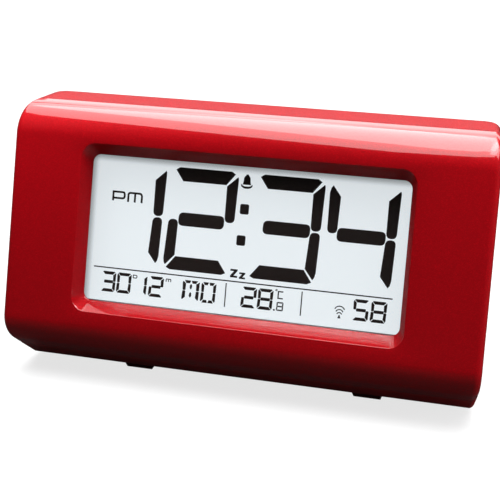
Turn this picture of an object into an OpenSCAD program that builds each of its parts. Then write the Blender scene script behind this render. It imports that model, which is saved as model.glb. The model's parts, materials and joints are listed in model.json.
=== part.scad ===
// Radio-controlled alarm clock with a leaning face, a liquid crystal display and a snooze bar.
// X runs along the width, Y from front to back and Z up. The origin is below the middle, at the feet.
// Depths behind the front face are measured square to it, and heights up the back wall along it.

/* [Case] */
// Width of the front face
case_w = 140; // [134:1:170]
// Flat length of the front face between its two rounds
face_len = 52.7; // [51:0.1:62]
// Height of the window centre above the lower end of the flat face
window_rise = 27.4; // [26.5:0.1:30]
// Backward lean of the front face in degrees
tilt = 19; // [15:0.5:22]
// Radius of the round between face and top
top_r = 10.6; // [9:0.1:13]
// Radius of the round between face and chin
chin_r = 8.4; // [7:0.1:11]
// Length of the sloping chin
chin_len = 12.4; // [10:0.1:16]
// Slope of the chin below the horizontal in degrees
chin_slope = 43.5; // [38:0.5:50]
// Flat ledge of the front shell ahead of the top bar
ledge = 2; // [1:0.1:3]
// Depth of the top bar from its seam to the back wall
bar_d = 12.3; // [11.5:0.1:20]
// Slope of the top bar down towards the back in degrees
bar_fall = 2; // [0.5:0.5:4]
// Forward lean of the back wall in degrees
back_lean = 3; // [0:0.5:6]
// Inward taper of each side in degrees
side_taper = 10.2; // [6:0.1:12]
// Wall thickness of both shells
wall = 2; // [1.6:0.1:2.4]
// Radius along the side edges
edge_r = 2; // [1:0.1:3]
// Radius of the upright rear corners
corner_r = 5; // [3:0.1:7]
// Radius along the rear edges of top and base
back_r = 2.5; // [1:0.1:4]
// Radius of the edge where the chin meets the base
foot_edge_r = 1.5; // [0.5:0.1:2.5]
// Length of the tongue that lines up the shells
tongue_len = 1.6; // [1:0.1:3]
// Thickness of the tongue
tongue_t = 0.9; // [0.6:0.1:1.2]

/* [Window] */
// Width of the visible display
win_w = 92.5; // [80:0.5:100]
// Height of the visible display
win_h = 42.1; // [36:0.1:44]
// Corner radius of the visible display
win_r = 2.3; // [1:0.1:4]
// Depth of the bevelled well
win_depth = 4.2; // [2:0.1:5]
// Width of the bevel at each end
bevel_x = 2; // [1:0.1:4]
// Width of the bevel above and below
bevel_y = 3; // [1:0.1:4]
// Height of the upright lip at the bottom of the bevel
lip = 0.4; // [0.2:0.1:1]

/* [Display] */
// Overlap of the lens behind the lip
seat = 2.4; // [1.5:0.1:3]
// Thickness of the lens
lens_t = 1.2; // [0.8:0.1:2]
// Thickness of each display glass
glass_t = 1.1; // [0.7:0.1:1.4]
// Thickness of the electrode film with the lit segments
film_t = 0.1; // [0.05:0.05:0.2]
// Height of the contact ledge at the lower edge of the front glass
contact_ledge = 2.1; // [1.8:0.1:3]
// Thickness of the reflector film
reflector_t = 0.25; // [0.1:0.05:0.5]
// Thickness of the light guide
guide_t = 2; // [1.5:0.1:3]
// Height of the time digits
digit_h = 29; // [20:0.5:30]
// Width of the time digits
digit_w = 19.4; // [12:0.1:20]
// Stroke of the time digits
digit_stroke = 3.4; // [2:0.1:4]
// Height of the small digits
small_h = 5.8; // [4:0.1:6.4]
// Width of the small digits
small_w = 4.3; // [3:0.1:4.4]
// Stroke of the small digits
small_stroke = 0.7; // [0.5:0.1:1]
// Slant of the digits in degrees
digit_lean = 1.8; // [0:0.1:8]

/* [Boards] */
// Thickness of every circuit board
board_t = 1.2; // [0.8:0.1:1.6]
// Space between the light guide and the main board
guide_to_board = 2.5; // [2:0.1:4]
// Distance of the board screws from the ends of the main board
board_screw_inset = 8; // [6:0.5:12]
// Diameter of the board screw bosses
board_boss_d = 4.6; // [4:0.1:5.5]

/* [Top bar] */
// Wall of the top bar
bar_wall = 1.8; // [1.4:0.1:2]
// Height of the top bar's skirt
bar_h = 5; // [4:0.1:6]
// Travel of the top bar
bar_travel = 1; // [0.5:0.1:1.2]
// Shadow gap under the top bar's skirt
bar_gap = 1.4; // [1.3:0.1:2]
// Seam between the front shell and the top bar
seam_gap = 0.35; // [0.2:0.05:0.6]
// Distance of each bar spring from the middle
bar_spring_x = 36; // [33:1:37]
// Distance of each snap leg from the middle
bar_leg_x = 24; // [18:1:26]

/* [Keys] */
// Number of rear keys
key_count = 5; // [1:1:5]
// Spacing of the rear keys
key_pitch = 16; // [14.5:0.1:16.5]
// Width of a key cap
key_w = 11; // [8:0.1:12]
// Height of a key cap
key_h = 5.4; // [4:0.1:6]
// Height of the key row up the back wall
key_row = 49; // [46:0.5:51]
// Travel of a key
key_travel = 0.7; // [0.3:0.1:1]
// How far a key stands proud of the back wall
key_proud = 1; // [0.8:0.1:2]
// Clearance around keys and slider
key_clear = 0.3; // [0.2:0.05:0.4]

/* [Alarm slider] */
// Middle of the slider's slot from the middle of the case
slider_x = 47.5; // [46.5:0.5:49]
// Width of the slider's grip
grip_w = 4.4; // [3:0.1:5]
// Height of the slider's grip
grip_h = 3.4; // [2.5:0.1:4]
// Travel of the slider
slider_travel = 4; // [2:0.1:4.5]

/* [Battery bay] */
// Diameter of a cell
cell_d = 10.5; // [10:0.1:10.5]
// Length of a cell with its nub
cell_len = 44.5; // [43.5:0.1:44.5]
// Height of the bay's middle up the back wall
bay_y = 20.5; // [20:0.1:22]
// Wall of the bay
bay_wall = 1.5; // [1.2:0.1:1.8]
// Thickness of the battery door
door_t = 1.8; // [1.4:0.1:2]
// Clearance around the battery door
door_clear = 0.35; // [0.25:0.05:0.5]

/* [Aerial] */
// Diameter of the ferrite rod
rod_d = 8; // [6:0.5:9]
// Length of the ferrite rod
rod_len = 60; // [50:1:64]
// Outer diameter of the winding
coil_d = 10.4; // [9.6:0.1:11]
// Length of the winding
coil_len = 26; // [16:1:34]

/* [Sounder] */
// Diameter of the brass disc
piezo_d = 20; // [15:0.5:20]
// Distance of the sounder from the middle of the case
piezo_x = 44; // [42:0.5:46]
// Diameter of a sound hole
sound_hole_d = 1.8; // [1.2:0.1:2.4]

/* [Feet] */
// Height of a foot below the base
foot_h = 1.8; // [1:0.1:3]
// Width of a foot
foot_w = 9; // [6:0.1:12]
// Length of a foot
foot_len = 6.4; // [4:0.1:10]
// Half the distance between left and right feet
foot_x = 34.5; // [24:0.5:40]
// Offset of the feet to the right of the middle
foot_shift = 2.1; // [-4:0.1:4]

/* [Fasteners] */
// Diameter of the case screws
case_screw_d = 2.9; // [2.5:0.1:3.2]
// Distance of the case screws from the side of the face
case_screw_inset = 12.5; // [11:0.1:13]
// Height of the case screws above the window centre
case_screw_v = 22; // [20:0.5:23]
// Diameter of the board screws
board_screw_d = 2; // [1.6:0.1:2.2]

/* [Hidden] */
$fn = 48;
far = 3 * case_w;
nudge = 0.01;
overlap = 0.4;
fit = 0.15;
screw_fit = 0.05;
edge_bite = 0.03;

// Case profile, as (y, z) about the window centre
face_n = [-cos(tilt), sin(tilt)];
face_up = [sin(tilt), cos(tilt)];
face_in = -face_n;
top_c = (face_len - window_rise) * face_up + top_r * face_in;
chin_c = -window_rise * face_up + chin_r * face_in;
top_z = top_c.y + top_r;
seam_y = top_c.x + ledge;
seam_depth = [seam_y, top_z] * face_in;
chin_n = [-sin(chin_slope), -cos(chin_slope)];
chin_run = [cos(chin_slope), -sin(chin_slope)];
chin_foot = chin_c + chin_r * chin_n + chin_len * chin_run;
base_z = chin_foot.y;
bar_n = [sin(bar_fall), cos(bar_fall)];
back_n = [cos(back_lean), sin(back_lean)];
back_top = [seam_y + bar_d, top_z];
back_c = back_n * back_top;
side_n = [cos(side_taper), sin(side_taper) * face_in.x, sin(side_taper) * face_in.y];
side_c = case_w / 2 * cos(side_taper);
function back_y(z) = (back_c - back_n.y * z) / back_n.x;

// Place of the window centre, so that the feet stand at zero and the case is centred front to back
front_y = chin_c.x - chin_r;
rear_y = back_y(base_z + back_r) - back_r / back_n.x + back_r;
centre_y = -(front_y + rear_y) / 2;
centre_z = foot_h - base_z;

// Depths behind the face
lens_depth = win_depth + lip;
glass_depth = lens_depth + lens_t;
film_depth = glass_depth + glass_t;
rear_glass_depth = film_depth + film_t;
reflector_depth = rear_glass_depth + glass_t;
guide_depth = reflector_depth + reflector_t;
block_depth = guide_depth;
board_depth = guide_depth + guide_t + guide_to_board;
board_back = board_depth + board_t;
boss_depth = board_depth - 1.5;

// Display sizes
lens_w = win_w + 2 * seat;
lens_h = win_h + 2 * seat;
pocket_w = lens_w + 2 * fit;
pocket_h = lens_h + 2 * fit;
pocket_rim = 1.3;
pocket_r = 0.4;
rear_glass_h = lens_h - contact_ledge;
reflector_w = lens_w - 2 * fit;
reflector_h = rear_glass_h - 2 * fit;
guide_w = lens_w - 4;
guide_h = rear_glass_h - 1;
holder_w = pocket_w + 0.4;
holder_h = pocket_h + 0.4;
holder_fit = 0.2;
guide_seat = 1.2;
strip_h = 1.2;
strip_w = lens_w - 5.3;
strip_y = -lens_h / 2 + contact_ledge / 2;
led_t = 1.6;
led_h = 4;

// Main board
board_boss_y = holder_h / 2 + board_boss_d / 2 + 0.4;
case_screw_x = case_w / 2 - case_screw_inset;
case_boss_d = 6.4;
tower_d = 8;
board_w = 2 * (case_screw_x - tower_d / 2 - 1.5);
board_h = 2 * (board_boss_y + board_boss_d / 2 + 0.5);
board_screw_x = board_w / 2 - board_screw_inset;
pad_d = board_boss_d + 0.6;
screw_head_h = 1.2;
screw_stop = 2;
screw_rim = 0.6;

// Case screws
tower_depth = board_depth - 1.9;
head_depth = tower_depth + 3.5;
case_head_d = 5.4;
case_head_h = 2;
case_screw_reach = 9;

// Push switches
switch_w = 6;
switch_h = 3.4;
plunger_d = 3.4;
plunger_h = 0.8;
press_slack = 0.05;

// Top bar, heights about the window centre
bar_foot_z = top_z - bar_h;
rim_z = bar_foot_z - bar_gap;
bar_clear = 0.4;
collar_t = 1.2;
stem_d = 4;
stem_end = bar_foot_z - 1.5;
bar_switch_z = stem_end - bar_travel - press_slack - plunger_h - switch_h;
bar_board_z = bar_switch_z - board_t;
shelf_t = 1.6;
bar_board_d = 7.6;
bar_board_w = 26;
bar_board_y = back_y(bar_board_z) - wall - 0.4 - bar_board_d;
stem_y = bar_board_y + bar_board_d / 2;
spring_od = 4.6;
spring_wire = 0.6;
spring_sink = 3.5;
spring_base_z = rim_z - spring_sink;
spring_post_d = 2.6;
spring_post_h = 4;
socket_d = 6.8;
socket_h = 0.8;
spring_y = stem_y - 0.6;
leg_w = 6;
leg_t = 1.5;
leg_end_z = bar_switch_z + 1.5;
barb_h = 1.6;
catch_t = 1.2;
function bar_under(y) = top_z - (y - seam_y) * tan(bar_fall) - bar_wall / bar_n.y;
collar_top = bar_under(seam_y + bar_d) - (bar_clear + collar_t) / bar_n.y - nudge;
rim_ledge_t = 1.6;

// Rear keys, as depths behind the back wall
flange_gap = 0.1;
flange_t = 1.2;
flange_out = 1.3;
key_flange = wall + flange_gap;
key_stem_end = key_flange + flange_t + 0.9;
key_switch_top = key_stem_end + key_travel + press_slack + plunger_h;
key_board_depth = key_switch_top + switch_h;
key_names = ["mode", "alarm", "up", "down", "wave"];
function key_x(k) = (k - (key_count - 1) / 2) * key_pitch;
reset_x = -slider_x;
reset_hole_d = 1.6;
key_board_end = 5.5;
key_board_edge = 4.4;
key_board_w = 2 * (slider_x + key_board_end);
key_board_h = 2 * (key_h / 2 + flange_out + key_board_edge);
key_post_d = 3.6;
key_post_y = key_h / 2 + flange_out + key_post_d / 2 + 0.4;
key_post_x = key_pitch * 1.5;
key_posts = [[-key_post_x, key_post_y], [key_post_x, key_post_y], [0, -key_post_y]];
slot_w = grip_w + slider_travel + 2 * key_clear;
slide_switch_h = 3.6;
slider_flange_w = grip_w + 5.2;
slider_flange_h = grip_h + 2.2;
slider_fork_end = key_board_depth - slide_switch_h - 0.15;
slider_proud = 1.2;

// Battery bay, as heights up the back wall and depths behind it
cell_gap = 0.9;
cell_pitch = cell_d + cell_gap;
bay_h = 2 * cell_d + 3 * cell_gap;
contact_t = 0.4;
contact_slack = 0.1;
spring_len = 6.4;
coil_base_r = 4.1;
coil_tip_r = 2.9;
coil_wire = 0.7;
bay_len = cell_len + spring_len + 2 * (contact_t + contact_slack) + 0.1;
door_seat = door_t + 0.1;
bay_flange_t = 1.5;
bay_flange_out = 4.4;
cell_depth = door_seat + 0.4 + cell_d / 2;
bay_floor = cell_depth + cell_d / 2 + 0.4;
door_w = bay_len + 2 * bay_wall + 2;
door_low = bay_y - bay_h / 2 - 2.3;
door_top = bay_y + bay_h / 2 + 2.3;
hinge_y = door_low + door_t / 2;
tab_w = 8;
tab_x = bay_len / 4 + 3;
tab_t = 1.2;
tab_drop = 2;
tab_room = 0.5;
tab_well_h = 6;
tab_well_d = 5.5;
rib_w = 14;
rib_t = 0.8;
rib_pitch = 1.6;
rib_h = 0.5;
rib_inset = 3;
cell_can = cell_len - 0.9;
nub_d = 3.8;

// Aerial, receiver and small parts on the floor
floor_z = base_z + wall;
rod_setback = 8.8;
rod_y = chin_foot.x + rod_setback;
rod_z = floor_z + coil_d / 2 + 0.9;
rod_fit = 0.05;
saddle_t = 3;
saddle_inset = 8;
saddle_x = rod_len / 2 - saddle_inset;
saddle_w = rod_d + 5;
receiver_inset = 24;
receiver_x = case_w / 2 - receiver_inset;
receiver_w = 22;
receiver_d = 13;
receiver_gap = 0.5;
receiver_y = rod_y + coil_d / 2 + receiver_gap + receiver_d / 2;
receiver_post_x = receiver_w / 2 - 2;
chip_w = 6;
chip_d = 4;
chip_h = 1.4;
receiver_z = floor_z + 3;
receiver_post_d = 4;

// Sounder and temperature sensor on the back wall
piezo_t = 0.25;
ceramic_d = piezo_d * 0.7;
piezo_seat = wall + 2.2;
piezo_ring_t = 1.6;
sensor_x = piezo_x;
sensor_d = 2.4;
sensor_len = 5;
sensor_depth = wall + 1 + sensor_d / 2;
vent_w = 12;
vent_h = 1.2;
vent_pitch = 3;
vent_count = 4;
sensor_y = bay_y + vent_pitch * vent_count / 2 + 2;

// Feet
foot_slope = 0.6;
foot_setback = 0.9;
peg_d = 3;
front_foot_y = chin_foot.x + foot_setback + foot_len / 2;
rear_foot_y = rear_y - back_r - foot_setback - foot_len / 2;

red = [0.66, 0.02, 0.05];
dark_red = [0.5, 0.02, 0.04];

// Frames: case for (x, y, z) about the window centre, face and back with z out of that wall
module in_case() translate([0, centre_y, centre_z]) children();
module in_face() in_case() rotate([90 - tilt, 0, 0]) children();
module in_back() in_case() translate([0, back_y(base_z), base_z]) rotate([90 - back_lean, 0, 180]) children();
module both_sides() {
  children();
  mirror([1, 0, 0]) children();
}

// Outline with round corners, from lines given as outward normal and distance
function meet(a, b) =
  let (d = a[0].x * b[0].y - a[0].y * b[0].x)
  [(a[1] * b[0].y - b[1] * a[0].y) / d, (a[0].x * b[1] - b[0].x * a[1]) / d];
function inward(l, d) = [l[0], l[1] - d];
module rounded_outline(lines, radii) {
  last = len(lines) - 1;
  function next(k) = lines[k == last ? 0 : k + 1];
  centres = [for (k = [0:last]) meet(inward(lines[k], radii[k]), inward(next(k), radii[k]))];
  polygon([
    for (k = [0:last])
      for (l = radii[k] > 0 ? [lines[k], next(k)] : [lines[k]]) centres[k] + radii[k] * l[0]
  ]);
  for (k = [0:last]) if (radii[k] > 0) translate(centres[k]) circle(radii[k]);
}

// Rectangle with round corners, and a slot with round ends
module round_rect(w, h, r) {
  square([w - 2 * r, h], center = true);
  square([w, h - 2 * r], center = true);
  for (x = [-1, 1], y = [-1, 1]) translate([x * (w / 2 - r), y * (h / 2 - r)]) circle(r);
}
module pill(w, h) {
  square([w - h, h], center = true);
  for (x = [-1, 1]) translate([x * (w - h) / 2, 0]) circle(h / 2);
}

// Slab of a flat shape between two depths, in a frame whose z points outwards
module slab(near, deep) translate([0, 0, -deep]) linear_extrude(deep - near) children();
module plate(w, h) square([w, h], center = true);

// Whole case drawn in by an inset
function case_lines(i) = [
  [face_n, -i], [[0, 1], top_z - i], [bar_n, bar_n * [seam_y, top_z] - i], [back_n, back_c - i],
  [[0, -1], -base_z - i], [chin_n, chin_n * chin_foot - i]
];
function shrink(r, i) = max(r - i, 0.3);
function case_radii(i) = [
  shrink(top_r, i), 0, shrink(back_r, i), shrink(back_r, i), shrink(foot_edge_r, i), shrink(chin_r, i)
];
function plan_lines(i) = [
  [[0, 1], -i], [[cos(side_taper), -sin(side_taper)], side_c - i],
  [[0, -1], case_w], [[-cos(side_taper), -sin(side_taper)], side_c - i]
];
function plan_radii(i) = [shrink(edge_r, i), 0, 0, shrink(edge_r, i)];
module case_block(i) {
  intersection() {
    in_case() rotate([90, 0, 90]) linear_extrude(far, center = true)
      rounded_outline(case_lines(i), case_radii(i));
    in_face() rotate([90, 0, 0]) linear_extrude(far, center = true)
      rounded_outline(plan_lines(i), plan_radii(i));
  }
}

// What a round of radius r takes off the edge between the side and another plane of the case
module edge_off(n, c, r) {
  along = cross(side_n, n) / norm(cross(side_n, n));
  across = cross(along, side_n);
  turn = acos(side_n * n);
  y = n.y == 0 ? 0 : (c - r + edge_bite) / n.y;
  z = n.y == 0 ? (c - r + edge_bite) / n.z : 0;
  x = (side_c - r + edge_bite - side_n.y * y - side_n.z * z) / side_n.x;
  reach = r + 1;
  in_case() multmatrix([
    [side_n.x, across.x, along.x, x], [side_n.y, across.y, along.y, y],
    [side_n.z, across.z, along.z, z], [0, 0, 0, 1]
  ]) linear_extrude(far, center = true) difference() {
    polygon([[0, 0], [reach, 0], [reach, reach * tan(turn / 2)], reach * [cos(turn), sin(turn)]]);
    circle(r);
  }
}
module rounded_case() {
  difference() {
    case_block(0);
    both_sides() {
      edge_off([0, back_n.x, back_n.y], back_c, corner_r);
      edge_off([0, 0, -1], -base_z, edge_r);
      edge_off([0, chin_n.x, chin_n.y], chin_n * chin_foot, edge_r);
      edge_off([0, bar_n.x, bar_n.y], bar_n * [seam_y, top_z], edge_r);
    }
  }
}
module between_depths(near, deep) {
  in_face() translate([-far / 2, -far / 2, -deep]) cube([far, far, deep - near]);
}
module between_heights(low, high) {
  in_case() translate([-far / 2, -far / 2, low]) cube([far, far, high - low]);
}

// Push switch standing on a board, plunger up
module push_switch() {
  translate([-switch_w / 2, -switch_w / 2, 0]) cube([switch_w, switch_w, switch_h]);
  cylinder(d = plunger_d, h = switch_h + plunger_h);
}

// Pan head screw, head resting at zero and shank below
module pan_screw(d, reach, head_d, head_h) {
  difference() {
    cylinder(d = head_d, h = head_h);
    for (a = [0, 90]) rotate(a) translate([-head_d * 0.35, -d * 0.1, head_h * 0.5])
      cube([head_d * 0.7, d * 0.2, head_h]);
  }
  translate([0, 0, -reach]) cylinder(d = d, h = reach + nudge);
}

module board_places() {
  for (x = [-1, 1], y = [-1, 1]) translate([x * board_screw_x, y * board_boss_y]) children();
}
module case_places() for (x = [-1, 1]) translate([x * case_screw_x, case_screw_v]) children();
module key_post_places() for (p = key_posts) translate([p.x, key_row + p.y]) children();

// Front shell: face, rounds and chin as one tray with the window well and the bosses
module window_hole() {
  hull() {
    translate([0, 0, -nudge]) linear_extrude(2 * nudge)
      round_rect(win_w + 2 * bevel_x, win_h + 2 * bevel_y, win_r + bevel_x, $fn = 32);
    slab(win_depth - nudge, win_depth) round_rect(win_w, win_h, win_r, $fn = 32);
  }
  slab(win_depth - nudge, lens_depth + nudge) round_rect(win_w, win_h, win_r);
}
module front_shell() {
  color(red) difference() {
    union() {
      difference() {
        intersection() {
          rounded_case();
          between_depths(-far / 2, seam_depth);
        }
        case_block(wall);
      }
      intersection() {
        difference() {
          case_block(wall - tongue_t);
          case_block(wall);
        }
        between_depths(seam_depth - overlap, seam_depth + tongue_len);
        between_heights(-far, rim_z - 2 * tongue_len);
      }
      in_face() {
        slab(wall - overlap, block_depth)
          round_rect(pocket_w + 2 * pocket_rim, pocket_h + 2 * pocket_rim, win_r);
        board_places() slab(wall - overlap, boss_depth) circle(d = board_boss_d);
        case_places() slab(wall - overlap, tower_depth) circle(d = case_boss_d);
      }
    }
    in_face() {
      window_hole();
      slab(lens_depth, block_depth + 1) round_rect(pocket_w, pocket_h, pocket_r);
      board_places() slab(wall + 1, boss_depth + 1) circle(d = board_screw_d + 2 * screw_fit);
      case_places() slab(wall + 1, tower_depth + 1) circle(d = case_screw_d + 2 * screw_fit);
    }
  }
}

// Rear shell: base, sides and back with the battery bay, towers, shelves and posts
module bay_box(grow, near, deep)
  slab(near, deep) translate([0, bay_y]) square([bay_len + 2 * grow, bay_h + 2 * grow], center = true);
module tab_places() for (s = [-1, 1]) translate([s * tab_x, 0, 0]) children();
module rear_wall_parts() {
  bay_box(bay_wall, door_seat, bay_floor + bay_wall);
  bay_box(bay_flange_out, door_seat, door_seat + bay_flange_t);
  key_post_places() slab(wall - overlap, key_board_depth) circle(d = key_post_d);
  translate([-piezo_x, bay_y]) slab(wall - overlap, piezo_seat + 1.6) circle(d = piezo_d + 2 * piezo_ring_t);
  for (s = [-1, 1]) translate([sensor_x, sensor_y])
    slab(wall - overlap, sensor_depth + sensor_d / 2)
      translate([s * (sensor_len / 2 - 1), 0]) square([1, sensor_d + 2.4], center = true);
}
module rear_wall_holes() {
  bay_box(0, -1, bay_floor);
  slab(-1, door_seat) translate([0, (door_low + door_top) / 2])
    square([door_w + 2 * door_clear, door_top - door_low + 2 * door_clear], center = true);
  tab_places() slab(door_seat - nudge, door_t + tab_well_d)
    translate([0, door_low - tab_drop - tab_room + tab_well_h / 2])
      square([tab_w + 2 * tab_room, tab_well_h], center = true);
  for (k = [0:key_count - 1]) translate([key_x(k), key_row])
    slab(-1, wall + 1) pill(key_w + 2 * key_clear, key_h + 2 * key_clear);
  translate([slider_x, key_row]) slab(-1, wall + 1) square([slot_w, grip_h + 2 * key_clear], center = true);
  translate([reset_x, key_row]) slab(-1, wall + 1) circle(d = reset_hole_d);
  key_post_places() slab(wall + 1, key_board_depth + 1) circle(d = board_screw_d + 2 * screw_fit);
  translate([-piezo_x, bay_y]) {
    slab(piezo_seat, piezo_seat + 3) circle(d = piezo_d + 2 * fit);
    slab(wall, piezo_seat + 1) circle(d = piezo_d - 2);
    slab(-1, wall + 1) circle(d = sound_hole_d);
    for (a = [0:60:300]) rotate(a) translate([piezo_d * 0.25, 0]) slab(-1, wall + 1) circle(d = sound_hole_d);
  }
  for (k = [0:vent_count - 1]) translate([sensor_x, bay_y + (k - (vent_count - 1) / 2) * vent_pitch])
    slab(-1, wall + 1) pill(vent_w, vent_h);
  translate([sensor_x, sensor_y]) slab(sensor_depth - sensor_d / 2, sensor_depth + 3)
    square([sensor_len, sensor_d + 2 * screw_fit], center = true);
}
module shelf(x, w, y, top, thick) {
  translate([x - w / 2, y, top - thick]) cube([w, back_y(top) - wall + overlap - y, thick]);
}
module case_inside_parts() {
  shelf(0, bar_board_w + 2, bar_board_y, bar_board_z, shelf_t);
  for (s = [-1, 1]) {
    shelf(s * bar_spring_x, socket_d + 1, spring_y - socket_d / 2, spring_base_z, shelf_t);
    translate([s * bar_spring_x, spring_y, spring_base_z - overlap])
      cylinder(d = spring_post_d, h = spring_post_h + overlap);
    shelf(s * bar_leg_x, leg_w + 1, stem_y + leg_t / 2 + 0.3, leg_end_z + barb_h + 0.1 + catch_t, catch_t);
    translate([s * saddle_x - saddle_t / 2, rod_y - saddle_w / 2, floor_z - overlap])
      cube([saddle_t, saddle_w, rod_z - floor_z + overlap]);
    translate([receiver_x + s * receiver_post_x, receiver_y, floor_z - overlap])
      cylinder(d = receiver_post_d, h = receiver_z - floor_z + overlap);
  }
}
module rear_shell() {
  color(red) difference() {
    union() {
      difference() {
        intersection() {
          rounded_case();
          between_depths(seam_depth, far);
          between_heights(-far, rim_z);
        }
        case_block(wall);
      }
      intersection() {
        difference() {
          case_block(wall - overlap);
          case_block(bar_wall + bar_clear + collar_t);
        }
        between_depths(seam_depth + tongue_len + 1, far);
        between_heights(rim_z - rim_ledge_t, rim_z);
      }
      intersection() {
        difference() {
          case_block(bar_wall + bar_clear);
          case_block(bar_wall + bar_clear + collar_t);
        }
        between_depths(seam_depth + tongue_len + 1, far);
        between_heights(rim_z - overlap, collar_top);
      }
      intersection() {
        case_block(wall - overlap);
        union() {
          in_back() rear_wall_parts();
          in_case() case_inside_parts();
          in_face() case_places() slab(tower_depth, far / 4) circle(d = tower_d);
        }
      }
    }
    intersection() {
      case_block(wall - tongue_t - fit);
      between_depths(seam_depth - 1, seam_depth + tongue_len + fit);
      between_heights(-far, rim_z - tongue_len);
    }
    in_back() rear_wall_holes();
    in_case() {
      translate([0, rod_y, rod_z]) rotate([0, 90, 0])
        cylinder(d = rod_d + 2 * rod_fit, h = rod_len + 2, center = true);
      foot_places() translate([0, 0, -nudge]) cylinder(d = peg_d + 2 * screw_fit, h = wall + 1);
    }
    in_face() case_places() {
      slab(tower_depth - 1, far / 4) circle(d = case_screw_d + 0.3);
      slab(head_depth, far / 4) circle(d = case_head_d + 0.8);
    }
  }
}

// Top bar: hollow cap with a front skirt, a stem for its switch, spring sockets and snap legs
module snooze_bar() {
  color(red) {
    difference() {
      intersection() {
        rounded_case();
        between_depths(seam_depth + seam_gap, far);
        between_heights(bar_foot_z, far);
      }
      intersection() {
        case_block(bar_wall);
        between_depths(seam_depth + seam_gap + bar_wall - fit, far);
      }
    }
    in_case() {
      translate([0, stem_y, stem_end]) cylinder(d = stem_d, h = bar_under(stem_y) - stem_end + overlap);
      for (s = [-1, 1]) {
        translate([s * bar_spring_x, spring_y, bar_under(spring_y) - socket_h]) difference() {
          cylinder(d = socket_d, h = socket_h + overlap);
          translate([0, 0, -nudge]) cylinder(d = spring_od + 2 * fit, h = socket_h + nudge);
        }
        translate([s * bar_leg_x - leg_w / 2, stem_y - leg_t / 2, leg_end_z]) {
          cube([leg_w, leg_t, bar_under(stem_y) - leg_end_z + overlap]);
          cube([leg_w, leg_t + 1.6, barb_h]);
        }
      }
    }
  }
}

// Display stack
module lens() {
  color([0.9, 0.95, 1, 0.3]) in_face() slab(lens_depth, glass_depth) round_rect(lens_w, lens_h, pocket_r);
}
module lcd_front_glass() {
  color([0.8, 0.9, 0.9, 0.4]) in_face() slab(glass_depth, film_depth) plate(lens_w, lens_h);
}
module lcd_rear_glass() {
  color([0.75, 0.85, 0.85, 0.4]) in_face() translate([0, contact_ledge / 2, 0])
    slab(rear_glass_depth, reflector_depth) square([lens_w, rear_glass_h], center = true);
}
module lcd_reflector() {
  color([0.85, 0.88, 0.88]) in_face() translate([0, contact_ledge / 2, 0])
    slab(reflector_depth, guide_depth) plate(reflector_w, reflector_h);
}

// Strokes of a digit that are lit: top, two upper, middle, two lower, bottom
lit = [
  [1, 1, 1, 0, 1, 1, 1], [0, 0, 1, 0, 0, 1, 0], [1, 0, 1, 1, 1, 0, 1], [1, 0, 1, 1, 0, 1, 1],
  [0, 1, 1, 1, 0, 1, 0], [1, 1, 0, 1, 0, 1, 1], [1, 1, 0, 1, 1, 1, 1], [1, 0, 1, 0, 0, 1, 0],
  [1, 1, 1, 1, 1, 1, 1], [1, 1, 1, 1, 0, 1, 1]
];
stroke_gap = 0.12;
// Corners of a stroke along x, mitred at both ends, its outer side above, below or, at 0, on neither
function stroke(len, t, side) =
  let (a = len / 2 - stroke_gap * t)
  side == 0
    ? [[-a, 0], [-a + t / 2, t / 2], [a - t / 2, t / 2], [a, 0], [a - t / 2, -t / 2], [-a + t / 2, -t / 2]]
    : [[-a, 0], [a, 0], [a - t, -side * t], [-a + t, -side * t]];
function level(y, len, t, side) = [for (p = stroke(len, t, side)) [p.x, y + p.y]];
function upright(x, y, len, t, side) = [for (p = stroke(len, t, side)) [x - p.y, y + p.x]];
function slant(p) = [p.x + p.y * tan(digit_lean), p.y];
module digit(on, w, h, t) {
  strokes = [
    level(h / 2, w, t, 1), upright(-w / 2, h / 4, h / 2, t, 1), upright(w / 2, h / 4, h / 2, t, -1),
    level(0, w - t, t, 0),
    upright(-w / 2, -h / 4, h / 2, t, 1), upright(w / 2, -h / 4, h / 2, t, -1), level(-h / 2, w, t, -1)
  ];
  for (k = [0:6]) if (on[k]) polygon([for (p = strokes[k]) slant(p)]);
}
// Middle strokes of the day's first letter, between its uprights
module letter_v(w, h, t) {
  inner = [[t / 8, t], [t * 1.1, t], [w / 2 - t * 1.3, h / 2], [w / 2 - t * 2.2, h / 2]];
  for (s = [-1, 1]) polygon([for (p = inner) slant([s * p.x, p.y])]);
}
// Time above the rule, with date, day, temperature and seconds below it, each as strokes and place
rule_y = -11.4;
rule_w = 88;
rule_t = 0.3;
time_gap = 1.6;
small_gap = 1.1;
time_y = rule_y + time_gap + digit_h / 2;
small_y = rule_y - small_gap - small_h / 2;
colon_x = -0.9;
colon_half = 4.4;
colon_d = 2.7;
pair_pitch = 21.3;
pair_gap = 25;
hour_x = colon_x - pair_gap / 2;
minute_x = colon_x + pair_gap / 2;
small_pitch = 4.8;
date_x = -40;
month_x = -30.2;
day_x = -14.9;
day_pitch = 5.3;
warmth_x = 2.5;
second_x = 34.7;
time_digits = [
  [lit[1], hour_x - pair_pitch], [lit[2], hour_x], [lit[3], minute_x], [lit[4], minute_x + pair_pitch]
];
small_digits = [
  [lit[3], date_x], [lit[0], date_x + small_pitch], [lit[1], month_x], [lit[2], month_x + small_pitch],
  [lit[0], day_x + day_pitch], [lit[2], warmth_x], [lit[8], warmth_x + small_pitch],
  [lit[5], second_x], [lit[8], second_x + small_pitch]
];
letter_sides = [0, 1, 1, 0, 1, 1, 0];
divider_x = [-4.3, 17.8];
divider_h = 6.8;
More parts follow.
